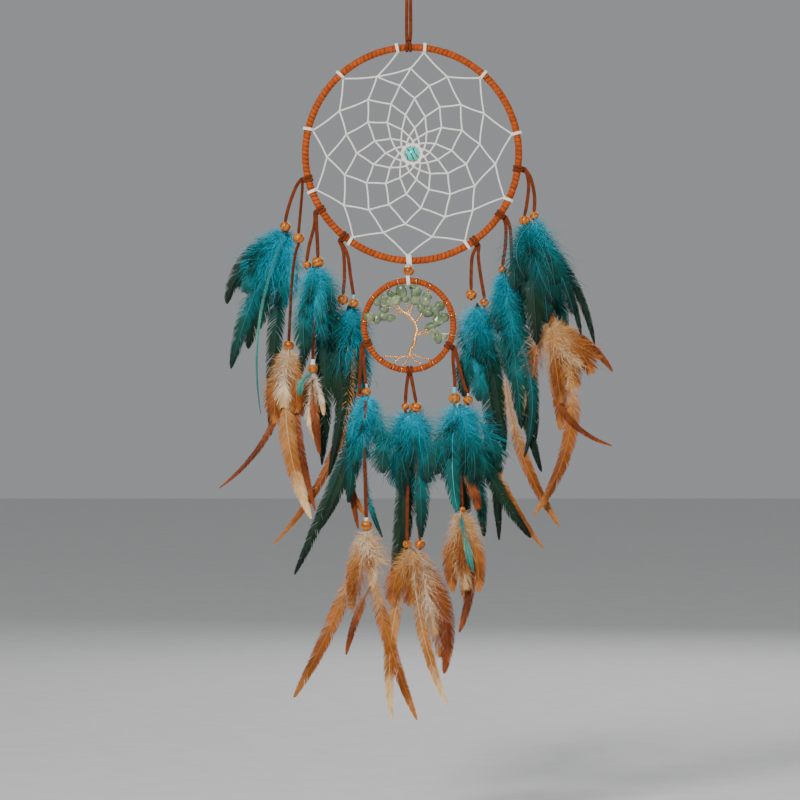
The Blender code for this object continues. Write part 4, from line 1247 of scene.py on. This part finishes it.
def feather(name, body, node, start, end, bow, half, kind, rng, down=None):
    """A tapered quill, two vanes of barbs that mat towards the tip, and loose down at the root."""
    look, quill, kind_down = FEATHER_LOOKS[kind]
    down = kind_down if down is None else down
    place, heading = spine_of(start, end, bow, rng.normal(0, 0.8))
    span = path_length(place(np.linspace(0, 1, 24)))
    count = int(np.clip(span * BARBS_PER_MM, FEWEST_BARBS, MOST_BARBS))
    tip_power = TIP_POWER + WIDE_TIP_POWER * max(half - WIDE_FROM, 0)
    blocks, share, across, shade, uv = [], [], [], [], []

    def add(s, points, tone, band):
        """Keeps a set of barbs with its colour attributes and its own strip of the surface map."""
        n = len(s)
        t = np.linspace(0, 1, SEGMENTS + 1)
        blocks.append(points)
        share.append(np.broadcast_to(s[:, None, None], points.shape[:3]) + 0.06 * t[None, :, None])
        across.append(np.broadcast_to(t[None, :, None], points.shape[:3]))
        shade.append(np.broadcast_to(tone[:, None, None], points.shape[:3]))
        u = (np.arange(n)[:, None, None] + np.array([0.1, 0.9])[None, None, :]) / n
        v = band[0] + (band[1] - band[0]) * t[None, :, None]
        uv.append(np.stack(np.broadcast_arrays(u, v), -1))

    for side, band in VANE_BANDS:
        s = np.linspace(0.05, 0.995, count) + rng.normal(0, 0.002, count)
        s = np.clip(s, 0, 0.999)
        loose = 1 - smoothstep(down - 0.12, down + 0.14, s)
        clump = np.interp(s, np.linspace(0, 1, CLUMPS), rng.normal(0, 0.06, CLUMPS))
        reach = half * (1 - np.exp(-s / 0.07)) * (1 - s**2.4) ** tip_power
        reach = reach * rng.uniform(0.86, 1.06) * (1 + loose * rng.uniform(-0.3, 0.35, count))
        lean = np.radians(62 - 34 * s) + clump + loose * rng.normal(0, 0.3, count)
        lean = lean + rng.normal(0, 0.02, count)
        length = reach / np.maximum(np.sin(lean * 0.8), 0.3)
        pitch = span * 0.95 / count
        width = pitch * (0.72 - 0.5 * loose) * rng.uniform(0.8, 1.1, count)
        rise = 0.05 + loose * rng.normal(0, 0.3, count) + 0.03 * rng.normal(size=count)
        curl = 0.35 + 0.1 * rng.normal(size=count) + loose * rng.normal(0, 0.4, count)
        wave = 0.02 + 0.28 * loose
        points = ribbons(place(s), heading(s), lean, length, width, curl, wave, rise, side, rng)
        tone = np.clip(0.5 + 2.2 * clump + rng.normal(0, 0.18, count), 0, 1)
        add(s, points, tone, band)

    extra = int(down * span * DOWN_PER_MM) + LEAST_DOWN
    for side, band in DOWN_BANDS:
        s = rng.uniform(0.015, down + 0.08, extra)
        lean = rng.uniform(0.5, 1.9, extra)
        fade = 1 - 0.5 * smoothstep(0, down + 0.1, s)
        length = half * rng.uniform(0.4, 1.0, extra) * fade
        width = rng.uniform(0.07, 0.15, extra)
        rise = rng.normal(0, 0.42, extra)
        curl = rng.normal(0.4, 0.5, extra)
        wave = rng.uniform(0.1, 0.5, extra)
        points = ribbons(place(s), heading(s), lean, length, width, curl, wave, rise, side, rng)
        add(s, points, rng.uniform(0, 1, extra), band)

    barbs = np.concatenate([b.reshape(-1, 3) for b in blocks])
    level = start[1]
    barbs[:, 1] = level + DEPTH_LIMIT * np.tanh((barbs[:, 1] - level) / DEPTH_LIMIT)
    strips = len(barbs) // (2 * (SEGMENTS + 1))
    first = np.arange(strips)[:, None] * 2 * (SEGMENTS + 1) + 2 * np.arange(SEGMENTS)[None, :]
    quads = np.stack([first, first + 1, first + 3, first + 2], -1).reshape(-1, 4)

    s = np.linspace(-0.02, 1, QUILL_STEPS)
    taper = (0.3 + 0.022 * half) * (1 - np.clip(s, 0, 1) ** 0.9) + 0.06
    outline = round_outline(1.0, QUILL_SIDES)
    quill_points, quill_quads = sweep(place(s), outline, DEPTH, np.stack([taper, taper], 1))
    rows = len(quill_points) // QUILL_SIDES
    u = np.repeat(np.linspace(0, 1, rows), QUILL_SIDES)
    v = np.tile(QUILL_BAND + 0.004 * np.arange(QUILL_SIDES), rows)

    def joined_values(parts, rest):
        return np.concatenate([*(p.reshape(-1) for p in parts), rest])

    attributes = {
        "along": joined_values(share, u),
        "across": joined_values(across, 0 * u),
        "shade": joined_values(shade, 0 * u + 0.6),
    }
    points = np.vstack([barbs, quill_points])
    all_quads = np.vstack([quads, quill_quads + len(barbs)])
    slots = np.concatenate([np.zeros(len(quads), int), np.ones(len(quill_quads), int)])
    piece = make_piece(name, points, all_quads, body, (node,), (look, quill), attributes, slots)
    flat = np.vstack([*(m.reshape(-1, 2) for m in uv), np.stack([u, v], 1)])
    layer = piece.data.uv_layers.new(name="OFBake")
    layer.data.foreach_set("uv", flat[all_quads.ravel()].astype(np.float32).ravel())


# Each bunch: its root from the tassel's hitch, its plumes' kind and their number, and its feathers as
# (root across, root up, tip across, tip up, bow to the right, half width, kind), from the bunch's root
BUNCHES = {
    "left_outer_feathers_upper": ((-17.3, 5.5, -39.5), "teal", 10, [
        (0, 0, -44, -54, -9, 7, "dark"), (0, 0, -41, -103, -4, 9, "teal"), (0, 0, -7, -58, 6, 12, "cyan"),
        (0, 0, -11, -153, -2, 7, "dark"), (-1, -2, -18, -137, -10, 1.2, "aqua"),
        (0, 0, -30, -46, -5, 12, "cyan"), (0, 0, -20, -74, -4, 12, "teal"),
        (-1, 0, -28, -88, -5, 10, "dark"),
    ]),
    "left_middle_feathers": ((-3.5, 5.0, -44.0), "teal", 10, [
        (2, 0, 5, -41, 0, 5.6, "cyan"), (-8, 2, -11, -43, -1, 6, "teal"), (1, 0, 4, -148, 4, 9, "dark"),
        (2, 0, 20, -133, 6, 12, "dark"), (0, -4, -32, -115, 8, 4.5, "dark"), (1, 0, 12, -58, 4, 12, "teal"),
        (-4, 0, -8, -66, -4, 11, "teal"), (1, 0, 9, -92, 1, 12, "teal"),
    ]),
    "left_inner_feathers": ((3.5, 7.0, -53.5), "teal", 8, [
        (-3, 0, -8, -70, -3, 11, "teal"), (3, 0, 10, -72, 2, 11, "cyan"), (1, 0, 2, -58, 0, 11, "teal"),
        (0, 0, -4, -109, 2, 8, "dark"), (0, 0, -15, -126, 4, 6, "dark"), (0, -6, -57, -178, 22, 4.5, "tan"),
        (-9, -98, 13, -157, -6, 3.5, "tan"), (0, -96, 7, -166, -2, 3.5, "rust"),
    ]),
    "right_outer_feathers_upper": ((9.0, 5.5, -42.5), "deep", 12, [
        (-3, 0, -12, -48, -3, 9, "teal"), (-1, 0, -7, -80, -2, 13, "teal"), (1, 0, 13, -74, 2, 13, "deep"),
        (2, 0, 20, -55, 5, 11, "teal"), (0, 0, 5, -90, 0, 11, "dark"), (6, -18, 16, -82, 2, 8, "dark"),
        (3, 2, 16, -58, 2, 11, "teal"), (1, 0, 49, -89, 8, 4, "dark"), (1, 0, 38, -82, 6, 4.5, "dark"),
        (0, 0, 27, -84, 4, 8, "teal"), (10, 6, 18, -44, 3, 10, "teal"),
    ]),
    "right_middle_feathers": ((3.0, -4.0, -45.0), "teal", 5, [
        (0, 0, 13, -116, 1, 10, "teal"), (2, 0, 24, -124, 4, 9, "dark"), (0, 0, 5, -79, -2, 9, "teal"),
        (2, 0, 28, -148, -5, 6, "dark"), (5, -30, 15, -137, 12, 4.5, "deep"),
        (-1, 0, -3, -42, -2, 8, "teal"),
    ]),
    "right_inner_feathers": ((3.0, 7.0, -50.0), "teal", 8, [
        (-3, 2, -10, -67, -3, 10, "teal"), (0, 0, 1, -70, 0, 12, "cyan"), (4, 0, 14, -69, 3, 10, "teal"),
        (0, 0, 16, -175, 3, 7, "dark"), (60, -52, 61, -164, -8, 5.5, "tan"),
        (14, -100, 49, -181, -4, 3.5, "tan"), (2, 0, 20, -108, 2, 7, "dark"),
    ]),
    "left_outer_feathers_lower": ((-14.6, -4.0, -129.0), "tan", 5, [
        (0, 0, -10, -54, -4, 9, "tan"), (0, 0, -52, -103, 14, 3, "rust"), (0, 0, 17, -126, -9, 7.5, "pale"),
        (1, 0, 20, -120, -4, 4.5, "rust"), (0, 0, -4, -42, -2, 9, "white"), (1, 0, 6, -46, 2, 8, "tan"),
    ]),
    "left_middle_feathers_lower": ((-6.0, -4.0, -123.0), "white", 0, [
        (0, 0, 2, -49, -3, 5, "white"), (2, 0, 8, -31, 1, 3, "white"), (-1, 0, -9, -15, -3, 4, "aqua"),
        (-1, 0, -10, -30, -2, 8, "rust"), (0, -6, 5, -60, -1, 4, "rust"),
    ]),
    "right_outer_feathers_lower": ((23.8, -4.0, -115.8), "tan", 8, [
        (0, 0, 32, -38, 4, 11, "tan"), (0, 0, 19, -48, 3, 10, "tan"), (1, 0, 47, -36, 5, 4, "rust"),
        (0, 0, -12, -144, 22, 7, "tan"), (2, -30, 47, -92, -14, 3, "rust"),
        (-1, 0, -21, -72, -6, 6, "white"), (0, 0, 8, -80, 2, 8, "tan"),
    ]),
    "lower_left_feathers_upper": ((-1.0, 0.8, -40.5), "teal", 9, [
        (1, 0, 13, -48, 4, 10, "teal"), (-4, -2, -7, -40, -2, 9, "cyan"), (0, 0, -54, -133, 2, 6, "dark"),
        (0, -8, -11, -58, -2, 4, "dark"), (-4, -50, 12, -105, -3, 3, "teal"),
        (0, 0, -13, -79, -2, 8, "teal"), (0, 0, -34, -98, 4, 6, "dark"),
    ]),
    "lower_left_feathers_lower": ((-1.0, -6.0, -141.0), "tan", 3, [
        (0, 0, -10, -52, -4, 6, "tan"), (0, 0, 4, -44, 2, 5, "white"), (0, 0, -54, -124, 4, 6, "tan"),
        (0, 0, 38, -141, -5, 6, "tan"), (8, -42, -15, -92, -2, 3.5, "rust"), (1, 0, 8, -26, 3, 3, "white"),
    ]),
    "lower_middle_feathers_upper": ((0.5, 0.8, -32.5), "teal", 14, [
        (-3, 0, -20, -45, -7, 14, "teal"), (-2, 0, -9, -56, -3, 14, "cyan"), (3, 0, 13, -52, 5, 14, "teal"),
        (1, 0, 2, -54, 0, 13, "cyan"), (0, 0, -14, -133, 2, 8, "dark"), (0, 0, -5, -110, 1, 8, "dark"),
        (0, 0, 8, -92, 3, 8, "teal"), (2, -20, -9, -80, 4, 4, "cyan"),
    ]),
    "lower_middle_feathers_lower": ((2.0, -6.5, -135.0), "tan", 8, [
        (-2, 0, -15, -40, -4, 9, "tan"), (0, 0, 0, -40, 0, 10, "tan"), (3, 0, 15, -38, 4, 9, "tan"),
        (2, 0, -15, -127, -8, 6, "pale"), (3, -10, 26, -115, -5, 5.5, "pale"),
        (4, 0, 24, -92, 11, 8, "rust"),
    ]),
    "lower_right_feathers_upper": ((8.5, 0.8, -46.0), "teal", 14, [
        (-4, 0, -17, -50, -7, 14, "teal"), (-2, 0, -5, -60, -3, 14, "cyan"), (2, 0, 12, -58, 4, 14, "teal"),
        (4, 0, 27, -50, 8, 13, "teal"), (-5, 1.5, -2, -78, -4, 9, "striped"),
        (3, 0, 53, -98, -5, 7, "dark"), (2, 0, 18, -97, 3, 8, "teal"), (0, 0, 4, -88, 0, 9, "dark"),
        (8, -52, 13, -76, 2, 5, "rust"),
    ]),
    "lower_right_feathers_lower": ((10.0, -6.0, -125.5), "tan", 7, [
        (-6, -4, 8, -44, 1, 2.6, "aqua"), (0, 0, -7, -58, -4, 8, "tan"), (-2, -2, 5, -40, 0, 2.2, "aqua"),
        (0, 0, 4, -68, 0, 9, "tan"), (1, 0, 12, -58, 4, 7, "tan"), (2, -8, -2, -89, 7, 4.5, "rust"),
    ]),
}
SHARED_NODE = {"left_middle_feathers_lower": "left_middle_feathers"}
# How far in front of the bunch's middle every other short feather hangs, where the bunch hides its laces
COVER = {
    "left_middle_feathers": -17.0,
    "right_outer_feathers_upper": -18.0,
    "lower_left_feathers_upper": -9.0,
    "lower_middle_feathers_upper": -12.5,
    "lower_right_feathers_upper": -11.5,
    "lower_right_feathers_lower": -7.0,
}
LONG_FEATHER = -95
AQUA_FRONT = -13.0
PLUME_KINDS = {"teal": "cyan", "tan": "white"}
PLUME_DOWN = 0.9


def make_bunch(bunch, root, main, fill, places):
    """A bunch of feathers gathered under its bead, with short loose plumes filling it out."""
    tassel_name = bunch.split("_feathers")[0]
    facts = TASSELS[tassel_name]
    base = hitch_point(facts["hoop"], facts["at"]) + np.array(root)
    node = SHARED_NODE.get(bunch, bunch)
    rng = np.random.default_rng(sum(map(ord, bunch)))
    body = f"{tassel_name}_tassel"
    cover = COVER.get(bunch, 0.0)
    for number, (x0, z0, x1, z1, bow, half, kind) in enumerate(places, 1):
        depth = (number % 5 - 2) * 0.55
        front = cover if number % 2 and z1 > LONG_FEATHER else 0.0
        if kind == "aqua":
            front = min(front, AQUA_FRONT)
        start = base + np.array([0.35 * x0, depth * 0.4 + 0.5 * front, z0])
        end = base + np.array([x1, depth * 1.6 + front, z1])
        feather(f"{bunch}_{number}", body, node, start, end, bow, half, kind, rng)
    spread = [p for p in places if p[3] > LONG_FEATHER] or places
    for number in range(1, fill + 1):
        x1, z1 = spread[number % len(spread)][2:4]
        share = rng.uniform(0.45, 0.85)
        front = cover if number % 2 else 0.0
        start = [rng.normal(0, 1.0), rng.normal(0, 0.8) + 0.5 * front, rng.normal(0, 0.6)]
        start = base + np.array(start)
        tip = [x1 * share + rng.normal(0, 4), rng.normal(0, 1.6) + front, z1 * share + rng.normal(0, 3)]
        end = base + np.array(tip)
        kind = main if number % 3 else PLUME_KINDS.get(main, main)
        name = f"{bunch}_plume_{number}"
        bow = rng.normal(0, 3)
        half = rng.uniform(8, 12)
        feather(name, body, node, start, end, bow, half, kind, rng, PLUME_DOWN)


for bunch_name, bunch_facts in BUNCHES.items():
    make_bunch(bunch_name, *bunch_facts)

# The steel rings keep their CAD shape

for ring in ("big_hoop_core", "small_hoop_core"):
    frame_object = bpy.data.objects[ring]
    frame_object.data.materials.clear()
    frame_object.data.materials.append(STEEL)

# Studio: a pale floor, soft light and a pale world

FLOOR_DROP = 90.0
FLOOR_HALF = 9.0


def make_floor():
    lowest = cad_box[0][2] / MM
    mesh = bpy.data.meshes.new("floor")
    z = (lowest - FLOOR_DROP) * MM
    corners = [(FLOOR_HALF * x, FLOOR_HALF * y, z) for x, y in ((-1, -1), (1, -1), (1, 1), (-1, 1))]
    mesh.from_pydata(corners, [], [(0, 1, 2, 3)])
    m = Nodes("floor", 0.7)
    m.colour(m.ramp(m.noise(40.0, 3.0), [(0.3, (0.74, 0.74, 0.73)), (0.7, (0.78, 0.78, 0.77))]))
    mesh.materials.append(m.material)
    floor = bpy.data.objects.new("floor", mesh)
    bpy.context.scene.collection.objects.link(floor)


def make_light(name, place, power, size, target):
    data = bpy.data.lights.new(name, "AREA")
    data.energy = power
    data.shape = "DISK"
    data.size = size
    light = bpy.data.objects.new(name, data)
    light.location = place
    direction = Vector(target) - Vector(place)
    light.rotation_euler = direction.to_track_quat("-Z", "Y").to_euler()
    bpy.context.scene.collection.objects.link(light)


def make_studio():
    world = bpy.data.worlds.new("studio")
    world.use_nodes = True
    background = world.node_tree.nodes["Background"]
    background.inputs["Color"].default_value = (0.86, 0.88, 0.90, 1.0)
    background.inputs["Strength"].default_value = 0.34
    bpy.context.scene.world = world
    middle = tuple(VIEW_CENTER * MM)
    make_light("key", (-0.8, -2.0, 0.9), 60.0, 0.4, middle)
    make_light("fill", (1.6, -1.4, -0.1), 8.0, 1.2, middle)
    make_light("rim", (0.4, 1.8, 0.6), 12.0, 1.4, middle)


make_floor()
make_studio()
